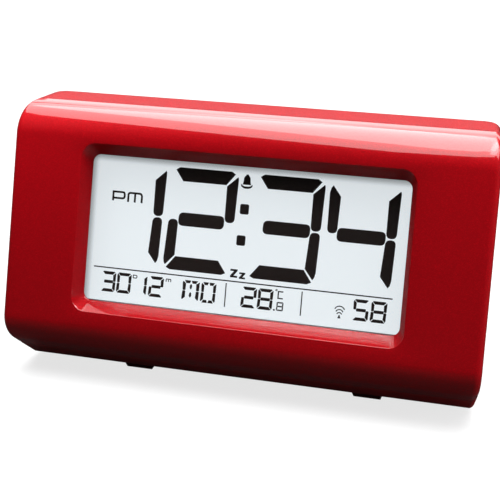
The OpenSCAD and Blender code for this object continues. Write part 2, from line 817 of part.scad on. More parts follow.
module lcd_segments() {
  color([0.08, 0.08, 0.09]) in_face() slab(film_depth, rear_glass_depth) {
    for (d = time_digits) translate([d[1], time_y]) digit(d[0], digit_w, digit_h, digit_stroke);
    for (s = [-1, 1]) translate([colon_x, time_y] + s * colon_half * [tan(digit_lean), 1])
      plate(colon_d, colon_d);
    for (d = small_digits) translate([d[1], small_y]) digit(d[0], small_w, small_h, small_stroke);
    translate([day_x, small_y]) {
      digit(letter_sides, small_w, small_h, small_stroke);
      letter_v(small_w, small_h, small_stroke);
    }
    translate([0, rule_y]) plate(rule_w, rule_t);
    for (x = divider_x) translate([x, small_y]) plate(rule_t, divider_h);
  }
}
module light_guide() {
  color([0.9, 0.95, 0.95, 0.6]) in_face() translate([0, contact_ledge / 2, 0])
    slab(guide_depth, guide_depth + guide_t) square([guide_w, guide_h], center = true);
}
led_x = guide_w / 2 + fit + led_t / 2;
module led_places() for (s = [-1, 1]) translate([s * led_x, contact_ledge / 2]) children();
module backlight_leds() {
  color([0.95, 0.92, 0.8]) in_face() led_places() slab(guide_depth + fit, board_depth) plate(led_t, led_h);
}
module lcd_holder() {
  color([0.92, 0.92, 0.9]) in_face() difference() {
    union() {
      slab(block_depth, board_depth) square([holder_w, holder_h], center = true);
      board_places() slab(boss_depth, board_depth) circle(d = pad_d);
      for (x = [-1, 1]) translate([x * board_screw_x, 0]) slab(boss_depth, board_depth)
        square([pad_d, 2 * board_boss_y], center = true);
      slab(boss_depth, board_depth) square([2 * board_screw_x, pad_d], center = true);
    }
    translate([0, contact_ledge / 2, 0]) {
      slab(block_depth - 1, guide_depth + guide_t) plate(guide_w + 2 * holder_fit, guide_h + 2 * holder_fit);
      slab(block_depth - 1, board_depth + 1) plate(guide_w - 2 * guide_seat, guide_h - 2 * guide_seat);
    }
    translate([0, strip_y, 0]) slab(block_depth - 1, board_depth + 1)
      square([strip_w + 2 * fit, strip_h + 2 * fit], center = true);
    led_places() slab(block_depth - 1, board_depth + 1) plate(led_t + 2 * fit, led_h + 2 * fit);
    board_places() slab(boss_depth - 1, board_depth + 1) circle(d = board_screw_d + 2 * screw_fit);
  }
}
module connector_strip() {
  color([0.85, 0.6, 0.65]) in_face() translate([0, strip_y, 0])
    slab(film_depth, board_depth) square([strip_w, strip_h], center = true);
}

// Main board and what is soldered to it
module main_board() {
  color([0.1, 0.35, 0.2]) in_face() difference() {
    slab(board_depth, board_back) square([board_w, board_h], center = true);
    board_places() slab(board_depth - 1, board_back + 1) circle(d = board_screw_d + 2 * screw_fit);
  }
}
blob_d = 13;
blob_h = 1.8;
blob_y = -4;
module controller_blob() {
  blob_r = (blob_d * blob_d / 4 + blob_h * blob_h) / (2 * blob_h);
  color([0.07, 0.07, 0.07]) in_face() translate([0, blob_y, 0]) intersection() {
    translate([0, 0, -board_back - blob_h + blob_r]) sphere(blob_r, $fn = 120);
    slab(board_back, board_back + blob_h + 1) circle(d = blob_d + 1);
  }
}
crystal_d = 2;
crystal_len = 6;
crystal_x = 14;
crystal_y = -10;
module clock_crystal() {
  color([0.75, 0.75, 0.78]) in_face() translate([crystal_x, crystal_y, -board_back - crystal_d / 2])
    rotate([0, 90, 0]) cylinder(d = crystal_d, h = crystal_len);
}
capacitor_d = 5;
capacitor_h = 5;
capacitor_x = -26;
capacitor_y = -10;
capacitor_pitch = 7;
module capacitors() {
  color([0.15, 0.15, 0.35]) in_face() for (k = [0, 1])
    translate([capacitor_x - k * capacitor_pitch, capacitor_y])
      slab(board_back, board_back + capacitor_h) circle(d = capacitor_d);
}
module board_screws() {
  color([0.7, 0.7, 0.72]) in_face() board_places() translate([0, 0, -board_back]) rotate([180, 0, 0])
    pan_screw(board_screw_d, board_back - wall - screw_stop, board_boss_d - screw_rim, screw_head_h);
}

// Switch of the top bar
module bar_board() {
  color([0.1, 0.35, 0.2]) in_case() translate([-bar_board_w / 2, bar_board_y, bar_board_z])
    cube([bar_board_w, bar_board_d, board_t]);
}
module bar_switch() color([0.2, 0.2, 0.22]) in_case() translate([0, stem_y, bar_switch_z]) push_switch();
module bar_springs() {
  color([0.8, 0.8, 0.82]) in_case() for (s = [-1, 1]) translate([s * bar_spring_x, spring_y, spring_base_z])
    difference() {
      cylinder(d = spring_od, h = bar_under(spring_y + spring_od / 2) - spring_base_z - fit);
      translate([0, 0, -nudge]) cylinder(d = spring_od - 2 * spring_wire, h = far);
    }
}

// Rear keys, their board and switches
module key(k) {
  color([0.12, 0.12, 0.13]) in_back() translate([key_x(k), key_row]) {
    slab(-key_proud, key_flange + nudge) pill(key_w, key_h);
    slab(key_flange, key_flange + flange_t) pill(key_w + 2 * flange_out, key_h + 2 * flange_out);
    slab(key_flange, key_stem_end) circle(d = plunger_d);
  }
}
module mode_key() key(0);
module alarm_key() key(1);
module up_key() key(2);
module down_key() key(3);
module wave_key() key(4);
module key_board() {
  color([0.1, 0.35, 0.2]) in_back() difference() {
    translate([0, key_row]) slab(key_board_depth, key_board_depth + board_t) plate(key_board_w, key_board_h);
    key_post_places() slab(key_board_depth - 1, key_board_depth + board_t + 1)
      circle(d = board_screw_d + 2 * screw_fit);
  }
}
module key_switches() {
  color([0.2, 0.2, 0.22]) in_back() {
    for (x = [reset_x, for (k = [0:key_count - 1]) key_x(k)])
      translate([x, key_row, -key_board_depth]) push_switch();
  }
}
module key_screws() {
  color([0.7, 0.7, 0.72]) in_back() key_post_places()
    translate([0, 0, -key_board_depth - board_t]) rotate([180, 0, 0])
      pan_screw(board_screw_d, key_board_depth + board_t - wall - 1.5, key_post_d, screw_head_h);
}
module alarm_slider() {
  color([0.12, 0.12, 0.13]) in_back() translate([slider_x - slider_travel / 2, key_row]) {
    slab(-slider_proud, key_flange + nudge) square([grip_w, grip_h], center = true);
    slab(key_flange, key_flange + flange_t) square([slider_flange_w, slider_flange_h], center = true);
    slab(key_flange, slider_fork_end) square([grip_w / 2, grip_h / 2], center = true);
  }
}
module slide_switch() {
  color([0.72, 0.72, 0.74]) in_back() translate([slider_x, key_row])
    slab(key_board_depth - slide_switch_h, key_board_depth) square([slot_w, grip_h + 1], center = true);
}

// Battery bay
module battery_door() {
  color(dark_red) in_back() {
    slab(0, door_t) translate([0, (hinge_y + door_top) / 2]) plate(door_w, door_top - hinge_y);
    translate([0, hinge_y, -door_t / 2]) rotate([0, 90, 0]) cylinder(d = door_t, h = door_w, center = true);
    tab_places() {
      slab(door_t / 2, door_seat + 0.3 + tab_t) translate([0, hinge_y - 0.1]) plate(tab_w, 1.2);
      slab(door_seat + 0.3, door_seat + 0.3 + tab_t) translate([0, hinge_y + 0.5 - (tab_drop + 1.4) / 2])
        square([tab_w, tab_drop + 1.4], center = true);
    }
    for (k = [0:2]) translate([0, door_top - rib_inset - rib_pitch * k])
      slab(-rib_h, nudge) pill(rib_w, rib_t);
  }
}
function cell_y(k) = bay_y + (k == 0 ? -1 : 1) * cell_pitch / 2;
// A cell lying along x with its nub towards -x
module cell_at(k) {
  in_back() translate([0, cell_y(k), -cell_depth]) mirror([k, 0, 0])
    translate([-bay_len / 2 + contact_t + contact_slack, 0, 0]) rotate([0, 90, 0]) {
      cylinder(d = nub_d, h = cell_len);
      translate([0, 0, cell_len - cell_can]) cylinder(d = cell_d, h = cell_can);
    }
}
module lower_cell() color([0.2, 0.22, 0.25]) cell_at(0);
module upper_cell() color([0.2, 0.22, 0.25]) cell_at(1);
module contact_plate(k, side, tall) {
  in_back() translate([side * (bay_len - contact_t) / 2, tall ? bay_y : cell_y(k), -cell_depth])
    cube([contact_t, tall ? cell_pitch + cell_d - 2 : cell_d - 2, cell_d - 2], center = true);
}
module battery_springs() {
  color([0.82, 0.82, 0.8]) for (k = [0, 1]) in_back() translate([0, cell_y(k), -cell_depth]) mirror([k, 0, 0])
    translate([bay_len / 2 - contact_t, 0, 0]) rotate([0, -90, 0]) rotate_extrude()
      polygon([
        [coil_base_r - coil_wire, 0], [coil_base_r, 0],
        [coil_tip_r, spring_len], [coil_tip_r - coil_wire, spring_len]
      ]);
}
module link_contact() color([0.8, 0.8, 0.76]) contact_plate(0, 1, true);
module positive_contact() color([0.8, 0.8, 0.76]) contact_plate(0, -1, false);
module negative_contact() color([0.8, 0.8, 0.76]) contact_plate(1, -1, false);

// Aerial and receiver
module along_rod() in_case() translate([0, rod_y, rod_z]) rotate([0, 90, 0]) children();
module ferrite_rod() color([0.2, 0.2, 0.21]) along_rod() cylinder(d = rod_d, h = rod_len, center = true);
module aerial_coil() {
  color([0.7, 0.4, 0.2]) along_rod() difference() {
    cylinder(d = coil_d, h = coil_len, center = true);
    cylinder(d = rod_d + 2 * rod_fit, h = far, center = true);
  }
}
module receiver_board() {
  color([0.1, 0.35, 0.2]) in_case() translate([receiver_x, receiver_y, receiver_z])
    linear_extrude(board_t) plate(receiver_w, receiver_d);
}
module receiver_chip() {
  color([0.07, 0.07, 0.07]) in_case() translate([receiver_x, receiver_y, receiver_z + board_t])
    linear_extrude(chip_h) plate(chip_w, chip_d);
}
module temperature_sensor() {
  color([0.1, 0.1, 0.12]) in_back() translate([sensor_x, sensor_y, -sensor_depth])
    rotate([0, 90, 0]) cylinder(d = sensor_d, h = sensor_len - 0.6, center = true);
}

// Sounder
module piezo_disc() {
  color([0.8, 0.65, 0.3]) in_back() translate([-piezo_x, bay_y])
    slab(piezo_seat, piezo_seat + piezo_t) circle(d = piezo_d);
}
module piezo_ceramic() {
  color([0.92, 0.92, 0.9]) in_back() translate([-piezo_x, bay_y])
    slab(piezo_seat + piezo_t, piezo_seat + 2 * piezo_t) circle(d = ceramic_d);
}

// Case screws and feet
module case_screws() {
  color([0.7, 0.7, 0.72]) in_face() case_places() translate([0, 0, -head_depth]) rotate([180, 0, 0])
    pan_screw(case_screw_d, case_screw_reach, case_head_d, case_head_h);
}
module foot_places(ys = [front_foot_y, rear_foot_y]) {
  for (s = [-1, 1], y = ys) translate([foot_shift + s * foot_x, y, base_z]) children();
}
module foot_side(w) {
  tread = w - 2 * foot_slope;
  polygon([[-w / 2, 0], [w / 2, 0], [tread / 2, -foot_h], [-tread / 2, -foot_h]]);
}
module foot() {
  intersection() {
    rotate([90, 0, 0]) linear_extrude(far, center = true) foot_side(foot_w);
    rotate([90, 0, 90]) linear_extrude(far, center = true) foot_side(foot_len);
  }
  translate([0, 0, -nudge]) cylinder(d = peg_d, h = wall + 0.6);
}
module front_feet() color([0.08, 0.07, 0.07]) in_case() foot_places([front_foot_y]) foot();
module rear_feet() color([0.08, 0.07, 0.07]) in_case() foot_places([rear_foot_y]) foot();

front_shell();
rear_shell();
snooze_bar();
lens();
lcd_front_glass();
lcd_segments();
lcd_rear_glass();
lcd_reflector();
light_guide();
backlight_leds();
lcd_holder();
connector_strip();
main_board();
controller_blob();
clock_crystal();
capacitors();
board_screws();
bar_board();
bar_switch();
bar_springs();
key_board();
key_switches();
key_screws();
mode_key();
alarm_key();
up_key();
down_key();
wave_key();
alarm_slider();
slide_switch();
battery_door();
upper_cell();
lower_cell();
battery_springs();
link_contact();
positive_contact();
negative_contact();
ferrite_rod();
aerial_coil();
receiver_board();
receiver_chip();
temperature_sensor();
piezo_disc();
piezo_ceramic();
case_screws();
front_feet();
rear_feet();
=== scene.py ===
"""Looks of a radio-controlled alarm clock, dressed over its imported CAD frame.

Blender works in metres. The sizes below are in millimetres about the middle of the display window:
u runs to the right, v up the leaning face and w square into it.
"""

import json
import logging
import math
from dataclasses import dataclass
from enum import Enum
from functools import cached_property
from typing import Sequence

import bmesh
import bpy
import numpy as np
from mathutils import Matrix, Vector


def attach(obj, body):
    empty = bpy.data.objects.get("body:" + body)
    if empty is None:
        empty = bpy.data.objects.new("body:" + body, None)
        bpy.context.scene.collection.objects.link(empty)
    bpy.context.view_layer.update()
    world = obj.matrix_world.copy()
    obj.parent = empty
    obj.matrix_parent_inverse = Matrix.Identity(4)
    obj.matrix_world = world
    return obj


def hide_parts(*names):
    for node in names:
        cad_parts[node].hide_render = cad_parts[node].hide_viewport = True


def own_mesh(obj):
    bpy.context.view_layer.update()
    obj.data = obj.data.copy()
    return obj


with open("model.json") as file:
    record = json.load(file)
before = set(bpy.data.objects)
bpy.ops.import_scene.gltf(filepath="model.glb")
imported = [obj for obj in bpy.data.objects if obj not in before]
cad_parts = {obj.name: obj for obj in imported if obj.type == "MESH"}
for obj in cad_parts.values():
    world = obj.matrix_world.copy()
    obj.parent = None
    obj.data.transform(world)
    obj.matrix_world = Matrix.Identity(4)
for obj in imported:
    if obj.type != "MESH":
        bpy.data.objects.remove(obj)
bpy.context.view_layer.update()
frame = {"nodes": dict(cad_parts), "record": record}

MM = 0.001
Array = np.ndarray
Colour = tuple[float, float, float]
log = logging.getLogger("alarm_clock")


# Case shape and its frames


@dataclass(frozen=True)
class CaseShape:
    """Main sizes of the case and the frames that its pieces are drawn in."""

    width: float = 140.0
    face_len: float = 52.7
    window_rise: float = 27.4
    tilt: float = math.radians(19)
    top_r: float = 10.6
    chin_r: float = 8.4
    chin_len: float = 12.4
    chin_slope: float = math.radians(43.5)
    ledge: float = 2.0
    bar_depth: float = 12.3
    bar_fall: float = math.radians(2)
    back_lean: float = math.radians(3)
    side_taper: float = math.radians(10.2)
    wall: float = 2.0
    edge_r: float = 2.0
    corner_r: float = 5.0
    back_r: float = 2.5
    foot_h: float = 1.8

    @cached_property
    def face_up(self) -> Array:
        """Direction up the face, as (y, z)."""
        return np.array([math.sin(self.tilt), math.cos(self.tilt)])

    @cached_property
    def face_in(self) -> Array:
        """Direction square into the face, as (y, z)."""
        return np.array([math.cos(self.tilt), -math.sin(self.tilt)])

    @cached_property
    def side_n(self) -> Array:
        """Outward normal of the right side, as (x, y, z)."""
        inward = math.sin(self.side_taper) * self.face_in
        return np.array([math.cos(self.side_taper), *inward])

    @cached_property
    def side_c(self) -> float:
        """Distance of the side plane from the window centre."""
        return self.width / 2 * math.cos(self.side_taper)

    @cached_property
    def top_c(self) -> Array:
        """Middle of the round between face and top."""
        return (self.face_len - self.window_rise) * self.face_up + self.top_r * self.face_in

    @cached_property
    def chin_c(self) -> Array:
        """Middle of the round between face and chin."""
        return -self.window_rise * self.face_up + self.chin_r * self.face_in

    @cached_property
    def top_z(self) -> float:
        """Height of the top ledge."""
        return float(self.top_c[1] + self.top_r)

    @cached_property
    def seam_y(self) -> float:
        """Place of the seam ahead of the top bar."""
        return float(self.top_c[0] + self.ledge)

    @cached_property
    def seam_depth(self) -> float:
        """Depth of the plane where front and rear shells meet."""
        return float(np.array([self.seam_y, self.top_z]) @ self.face_in)

    @cached_property
    def chin_run(self) -> Array:
        """Direction down the chin."""
        return np.array([math.cos(self.chin_slope), -math.sin(self.chin_slope)])

    @cached_property
    def chin_n(self) -> Array:
        """Outward normal of the chin."""
        return np.array([-math.sin(self.chin_slope), -math.cos(self.chin_slope)])

    @cached_property
    def chin_foot(self) -> Array:
        """Foot of the chin, where it meets the base."""
        return self.chin_c + self.chin_r * self.chin_n + self.chin_len * self.chin_run

    def back_y(self, z: float) -> float:
        """Place of the back wall at a height."""
        c, s = math.cos(self.back_lean), math.sin(self.back_lean)
        return (c * (self.seam_y + self.bar_depth) + s * self.top_z - s * z) / c

    @cached_property
    def centre(self) -> Array:
        """World place of the window centre, with the feet at zero and the depth centred.

        Returns:
            The place as (y, z) in millimetres.
        """
        base = float(self.chin_foot[1])
        front = self.chin_c[0] - self.chin_r
        lean = self.back_r / math.cos(self.back_lean)
        rear = self.back_y(base + self.back_r) - lean + self.back_r
        return np.array([-(front + rear) / 2, self.foot_h - base])

    def from_case(self, p: Array) -> Array:
        """World metres of points (x, y, z) about the window centre."""
        return (np.asarray(p, float) + np.array([0, *self.centre])) * MM

    def from_face(self, p: Array) -> Array:
        """Puts points of the face frame in the world.

        Args:
            p: Points (u, v, w) in millimetres.

        Returns:
            World points in metres.
        """
        p = np.asarray(p, float)
        yz = p[..., 1:2] * self.face_up + p[..., 2:3] * self.face_in
        return self.from_case(np.concatenate([p[..., :1], yz], axis=-1))

    def from_back(self, p: Array) -> Array:
        """Puts points of the back frame in the world.

        Args:
            p: Points (right as seen from behind, up the wall, depth into the case) in millimetres.

        Returns:
            World points in metres.
        """
        p = np.asarray(p, float)
        c, s = math.cos(self.back_lean), math.sin(self.back_lean)
        base = float(self.chin_foot[1])
        y = self.back_y(base) - p[..., 1] * s - p[..., 2] * c
        z = base + p[..., 1] * c - p[..., 2] * s
        return self.from_case(np.stack([-p[..., 0], y, z], axis=-1))


CASE = CaseShape()


# Mesh making

CORNER_SHARE = 0.49  # largest share of a side that one soft corner takes
ROUND_SPLIT = 0.02  # millimetres between the two halves of a round outline
TURN_STEPS = 28  # points along one turn of a coil
WIRE_STEPS = 10  # points round a coil's wire
END_LEAD = 0.06  # lead of a coil's end turns, as a share of the full lead


class MeshParts:
    """Collects grids and polygons and turns them into one object."""

    def __init__(self) -> None:
        """Starts with nothing collected."""
        self.points: list[Array] = []
        self.faces: list[list[int]] = []
        self.count = 0

    def add_points(self, points: Array) -> Array:
        """Adds points and gives their numbers.

        Args:
            points: Array of any shape whose last axis is (x, y, z) in metres.

        Returns:
            Numbers of the points, in the shape of the array without its last axis.
        """
        flat = points.reshape(-1, 3)
        ids = np.arange(self.count, self.count + len(flat)).reshape(points.shape[:-1])
        self.points.append(flat)
        self.count += len(flat)
        return ids

    def add_quads(self, ids: Array, closed: bool = False, skip: Array | None = None) -> None:
        """Joins a grid of point numbers by quads.

        Args:
            ids: Point numbers as rows by columns.
            closed: Whether the last column joins the first.
            skip: Mask of the quads to leave out, or None.
        """
        if closed:
            ids = np.concatenate([ids, ids[:, :1]], axis=1)
        quads = np.stack([ids[:-1, :-1], ids[:-1, 1:], ids[1:, 1:], ids[1:, :-1]], axis=-1)
        if skip is not None:
            quads = quads[~skip]
        self.faces.extend(quads.reshape(-1, 4).tolist())

    def add_grid(self, points: Array, closed: bool = False) -> Array:
        """Adds a grid of points joined by quads.

        Args:
            points: Rows by columns of (x, y, z) in metres.
            closed: Whether the last column joins the first.

        Returns:
            Numbers of the points.
        """
        ids = self.add_points(points)
        self.add_quads(ids, closed)
        return ids

    def add_loft(self, rings: Array) -> None:
        """Adds a closed body through a stack of closed rings, capped at both ends.

        Args:
            rings: Rings by points of (x, y, z) in metres.
        """
        ids = self.add_grid(rings, closed=True)
        self.faces += [ids[0].tolist(), ids[-1].tolist()]

    def to_object(self, name: str, sharp: float = 30.0, weld: float = 2e-6) -> bpy.types.Object:
        """Makes the object, with doubles merged, faces turned outwards and smooth shading.

        Args:
            name: Name of the piece.
            sharp: Angle in degrees past which an edge stays sharp.
            weld: Distance in metres below which points are merged.

        Returns:
            The new object at the origin, linked to the scene.
        """
        mesh = bpy.data.meshes.new(name)
        mesh.from_pydata(np.concatenate(self.points), [], self.faces)
        return finish_mesh(mesh, name, sharp, weld)


def finish_mesh(mesh: bpy.types.Mesh, name: str, sharp: float, weld: float) -> bpy.types.Object:
    """Merges a mesh's doubles, turns its faces outwards, shades it and links its object.

    Args:
        mesh: Mesh to finish.
        name: Name of the piece.
        sharp: Angle in degrees past which an edge stays sharp.
        weld: Distance in metres below which points are merged.

    Returns:
        The object that holds the mesh.
    """
    bm = bmesh.new()
    bm.from_mesh(mesh)
    bmesh.ops.remove_doubles(bm, verts=bm.verts, dist=weld)
    bmesh.ops.dissolve_degenerate(bm, edges=bm.edges, dist=weld)
    bmesh.ops.recalc_face_normals(bm, faces=bm.faces)
    bm.to_mesh(mesh)
    bm.free()
    mesh.polygons.foreach_set("use_smooth", np.ones(len(mesh.polygons), bool))
    mesh.set_sharp_from_angle(angle=math.radians(sharp))
    mesh.update()
    piece = bpy.data.objects.new(name, mesh)
    bpy.context.scene.collection.objects.link(piece)
    return piece


def parabola(start: Array, corner: Array, end: Array, t: Array | float) -> Array:
    """Soft corner: (1 - t) squared start + 2 t (1 - t) corner + t squared end."""
    return (1 - t) ** 2 * start + 2 * t * (1 - t) * corner + t**2 * end


def rounded_polygon(corners: Sequence[Sequence[float]], steps: int = 5) -> Array:
    """Outline through corners (x, y, radius), each cut by a parabola between its two sides.

    The parabola starts and ends where an arc of that radius would touch the sides.

    Args:
        corners: Corners in order, with the radius of each, where 0 keeps it sharp.
        steps: Number of pieces in each soft corner.

    Returns:
        Outline points as an (n, 2) array.
    """
    c = np.asarray(corners, float)
    p, r = c[:, :2], c[:, 2]
    a = np.roll(p, 1, axis=0) - p
    b = np.roll(p, -1, axis=0) - p
    la, lb = np.linalg.norm(a, axis=1), np.linalg.norm(b, axis=1)
    a, b = a / la[:, None], b / lb[:, None]
    half = np.arccos(np.clip((a * b).sum(1), -1, 1)) / 2
    reach = np.minimum(r / np.tan(half), CORNER_SHARE * np.minimum(la, lb))
    t = np.linspace(0, 1, steps + 1)[None, :, None]
    start, end = (p + a * reach[:, None])[:, None], (p + b * reach[:, None])[:, None]
    curve = parabola(start, p[:, None], end, t)
    rows = [curve[k] if r[k] > 0 else p[k : k + 1] for k in range(len(p))]
    return np.concatenate(rows)


def on_circle(angles: Array) -> Array:
    """Points (cos a, sin a) of the unit circle at angles in radians."""
    return np.stack([np.cos(angles), np.sin(angles)], axis=-1)


def pill_ring(w: float, h: float, steps: int = 12) -> Array:
    """Outline of a slot: a half circle of radius h / 2, moved out by (w - h) / 2, and its opposite.

    Args:
        w: Width over the ends.
        h: Height.
        steps: Number of pieces in each end.

    Returns:
        Outline points as an (n, 2) array.
    """
    a = np.linspace(-math.pi / 2, math.pi / 2, steps + 1)
    end = np.stack([(w - h) / 2 + h / 2 * np.cos(a), h / 2 * np.sin(a)], axis=-1)
    return np.concatenate([end, -end])


def round_ring(d: float) -> Array:
    """Outline of a circle, as a slot whose two ends are just kept apart."""
    return pill_ring(d + ROUND_SPLIT, d)


def box_ring(w: float, h: float, r: float, steps: int = 4) -> Array:
    """Outline of a rectangle with round corners: a quarter circle turned into each corner.

    Args:
        w: Width.
        h: Height.
        r: Corner radius.
        steps: Number of pieces in each corner.

    Returns:
        Outline points as an (n, 2) array.
    """
    arc = on_circle(np.linspace(0, math.pi / 2, steps + 1)) * r
    turn = np.array([[0, -1], [1, 0]])
    mid = np.array([[1, 1], [-1, 1], [-1, -1], [1, -1]]) * np.array([w / 2 - r, h / 2 - r])
    return np.concatenate([mid[k] + arc @ np.linalg.matrix_power(turn, k).T for k in range(4)])


def at_depths(rings: Sequence[Array], depths: Sequence[float]) -> Array:
    """Stacks flat rings at their depths, as a (rings, points, 3) array."""
    stack = [np.column_stack([ring, np.full(len(ring), d)]) for ring, d in zip(rings, depths)]
    return np.stack(stack)


def turned(profile: Array, steps: int = 48) -> Array:
    """Surface of revolution: a profile of (along, radius) turned about the x axis.

    Args:
        profile: (n, 2) array of places along the axis and radii.
        steps: Number of points round each ring.

    Returns:
        (n, steps, 3) array of points.
    """
    a = np.linspace(0, 2 * math.pi, steps, endpoint=False)
    along = np.broadcast_to(profile[:, :1], (len(profile), steps))
    return np.stack([along, profile[:, 1:] * np.cos(a), profile[:, 1:] * np.sin(a)], axis=-1)


def coil_rings(
    height: float, foot_r: float, tip_r: float, wire: float, turns: float, dead: float
) -> Array:
    """Wire coil along z: a circle carried along a helix whose radius runs from foot to tip.

    The lead grows smoothly from a trace over the dead turns at each end, so that the ends lie flat.

    Args:
        height: Height of the coil over its wire.
        foot_r: Outer radius at the foot.
        tip_r: Outer radius at the tip.
        wire: Diameter of the wire.
        turns: Number of turns.
        dead: Number of flat turns at each end.

    Returns:
        (n, points, 3) array of rings round the wire.
    """
    s = np.linspace(0, 1, int(turns * TURN_STEPS) + 1)
    edge = dead / turns
    ramp = np.clip(np.minimum(s, 1 - s) / edge, 0, 1)
    rise = np.cumsum(END_LEAD + (1 - END_LEAD) * ramp**2 * (3 - 2 * ramp))
    z = wire / 2 + (height - wire) * (rise - rise[0]) / (rise[-1] - rise[0])
    radius = foot_r + (tip_r - foot_r) * (z - wire / 2) / (height - wire) - wire / 2
    a = 2 * math.pi * turns * s
    out = np.stack([np.cos(a), np.sin(a), np.zeros_like(a)], axis=-1)
    centre = out * radius[:, None] + np.stack([0 * z, 0 * z, z], axis=-1)
    along = np.gradient(centre, axis=0)
    along /= np.linalg.norm(along, axis=1, keepdims=True)
    side = np.cross(along, out)
    b = np.linspace(0, 2 * math.pi, WIRE_STEPS, endpoint=False)[None, :, None]
    return centre[:, None] + wire / 2 * (np.cos(b) * out[:, None] + np.sin(b) * side[:, None])


# Shared shader effects


class Graph:
    """Adds nodes and links to one node tree."""

    def __init__(self, tree: bpy.types.NodeTree) -> None:
        """Works on the given tree."""
        self.tree = tree

    def add(self, kind: str, values: dict | None = None, **settings: object) -> bpy.types.Node:
        """Adds a node.

        Args:
            kind: Type name of the node.
            values: Input values by socket name or number.
            settings: Properties of the node.

        Returns:
            The new node.
        """
        node = self.tree.nodes.new(kind)
        for key, value in settings.items():
            setattr(node, key, value)
        for key, value in (values or {}).items():
            node.inputs[key].default_value = value
        return node

    def join(self, out: bpy.types.NodeSocket, into: bpy.types.NodeSocket) -> None:
        """Links an output to an input."""
        self.tree.links.new(out, into)

    def maths(self, operation: str, a: object, b: object = 0.0) -> bpy.types.NodeSocket:
        """Adds a maths node.

        Args:
            operation: Name of the operation.
            a: First socket or number.
            b: Second socket or number.

        Returns:
            The node's output.
        """
        node = self.add("ShaderNodeMath", operation=operation)
        for k, value in enumerate((a, b)):
            if isinstance(value, bpy.types.NodeSocket):
                self.join(value, node.inputs[k])
            else:
                node.inputs[k].default_value = value
        return node.outputs[0]

    def mixed(
        self, share: bpy.types.NodeSocket, first: bpy.types.Node, second: bpy.types.Node
    ) -> bpy.types.NodeSocket:
        """Mixes two shaders.

        Args:
            share: Share of the second shader.
            first: Shader at share 0.
            second: Shader at share 1.

        Returns:
            The mixed shader's output.
        """
        mix = self.add("ShaderNodeMixShader")
        for k, out in enumerate((share, first.outputs[0], second.outputs[0])):
            self.join(out, mix.inputs[k])
        return mix.outputs[0]


def fresh_graph(owner: bpy.types.Material | bpy.types.World) -> Graph:
    """Empties the node tree of a material or world and gives its graph.

    Args:
        owner: Material or world that holds the tree.

    Returns:
        Graph of the empty tree.
    """
    owner.use_nodes = True
    owner.node_tree.nodes.clear()
    return Graph(owner.node_tree)


class Effect(Enum):
    """Shared surface effects, each one a shader node group."""

    MOULDED = "moulded_grain"
    FLAKE = "metal_flake"
    DRAWN = "drawn_metal"


EFFECT_SOCKETS = (
    ("INPUT", "Colour", "NodeSocketColor"),
    ("INPUT", "Colour Shift", "NodeSocketFloat"),
    ("INPUT", "Roughness", "NodeSocketFloat"),
    ("INPUT", "Roughness Shift", "NodeSocketFloat"),
    ("INPUT", "Grain", "NodeSocketFloat"),
    ("OUTPUT", "Colour", "NodeSocketColor"),
    ("OUTPUT", "Roughness", "NodeSocketFloat"),
    ("OUTPUT", "Height", "NodeSocketFloat"),
)


def new_group(effect: Effect) -> tuple[Graph, dict]:
    """Starts an effect's node group with its named sockets.

    Args:
        effect: Effect that the group is for.

    Returns:
        The graph, and the group's input outlets and output inlets by name.
    """
    tree = bpy.data.node_groups.new(effect.value, "ShaderNodeTree")
    for way, name, kind in EFFECT_SOCKETS:
        tree.interface.new_socket(name, in_out=way, socket_type=kind)
    g = Graph(tree)
    source, sink = g.add("NodeGroupInput"), g.add("NodeGroupOutput")
    return g, {"in": source.outputs, "out": sink.inputs}


def spread(g: Graph, value: object, amount: object, middle: object) -> bpy.types.NodeSocket:
    """Value about a middle: middle + (value - 0.5) * 2 * amount."""
    away = g.maths("MULTIPLY", g.maths("SUBTRACT", value, 0.5), 2.0)
    return g.maths("ADD", middle, g.maths("MULTIPLY", away, amount))


def shade(
    g: Graph, colour: bpy.types.NodeSocket, level: bpy.types.NodeSocket
) -> bpy.types.NodeSocket:
    """Colour times a level, by scaling it as a vector.

    Args:
        g: Graph to add to.
        colour: Colour to scale.
        level: Level to scale it by.

    Returns:
        The scaled colour.
    """
    node = g.add("ShaderNodeVectorMath", operation="SCALE")
    g.join(colour, node.inputs[0])
    g.join(level, node.inputs["Scale"])
    return node.outputs[0]


def put_out(
    g: Graph, io: dict, level: bpy.types.NodeSocket, gloss: bpy.types.NodeSocket,
    height: bpy.types.NodeSocket,
) -> bpy.types.NodeTree:
    """Sends an effect's colour, roughness and height to its outputs.

    Args:
        g: Graph of the group.
        io: The group's sockets.
        level: What the colour shifts with, about 0.5.
        gloss: What the roughness shifts with, about 0.5.
        height: Height of the grain.

    Returns:
        The finished node group.
    """
    given, out = io["in"], io["out"]
    g.join(shade(g, given["Colour"], spread(g, level, given["Colour Shift"], 1.0)), out["Colour"])
    g.join(spread(g, gloss, given["Roughness Shift"], given["Roughness"]), out["Roughness"])
    g.join(height, out["Height"])
    return g.tree


def moulded_grain() -> bpy.types.NodeTree:
    """Moulded plastic, rubber or resin: soft clouds in colour and gloss, and a fine eroded grain.

    Returns:
        The node group.
    """
    g, io = new_group(Effect.MOULDED)
    place = g.add("ShaderNodeTexCoord").outputs["Object"]
    cloud = g.add("ShaderNodeTexNoise", {"Scale": 55.0, "Detail": 3.0})
    fine = g.add("ShaderNodeTexNoise", {"Detail": 2.0, "Roughness": 0.6})
    g.join(io["in"]["Grain"], fine.inputs["Scale"])
    for node in (cloud, fine):
        g.join(place, node.inputs["Vector"])
    soft = g.maths("MULTIPLY", cloud.outputs[0], 0.6)
    mixed = g.maths("ADD", soft, g.maths("MULTIPLY", fine.outputs[0], 0.4))
    return put_out(g, io, mixed, mixed, fine.outputs[0])


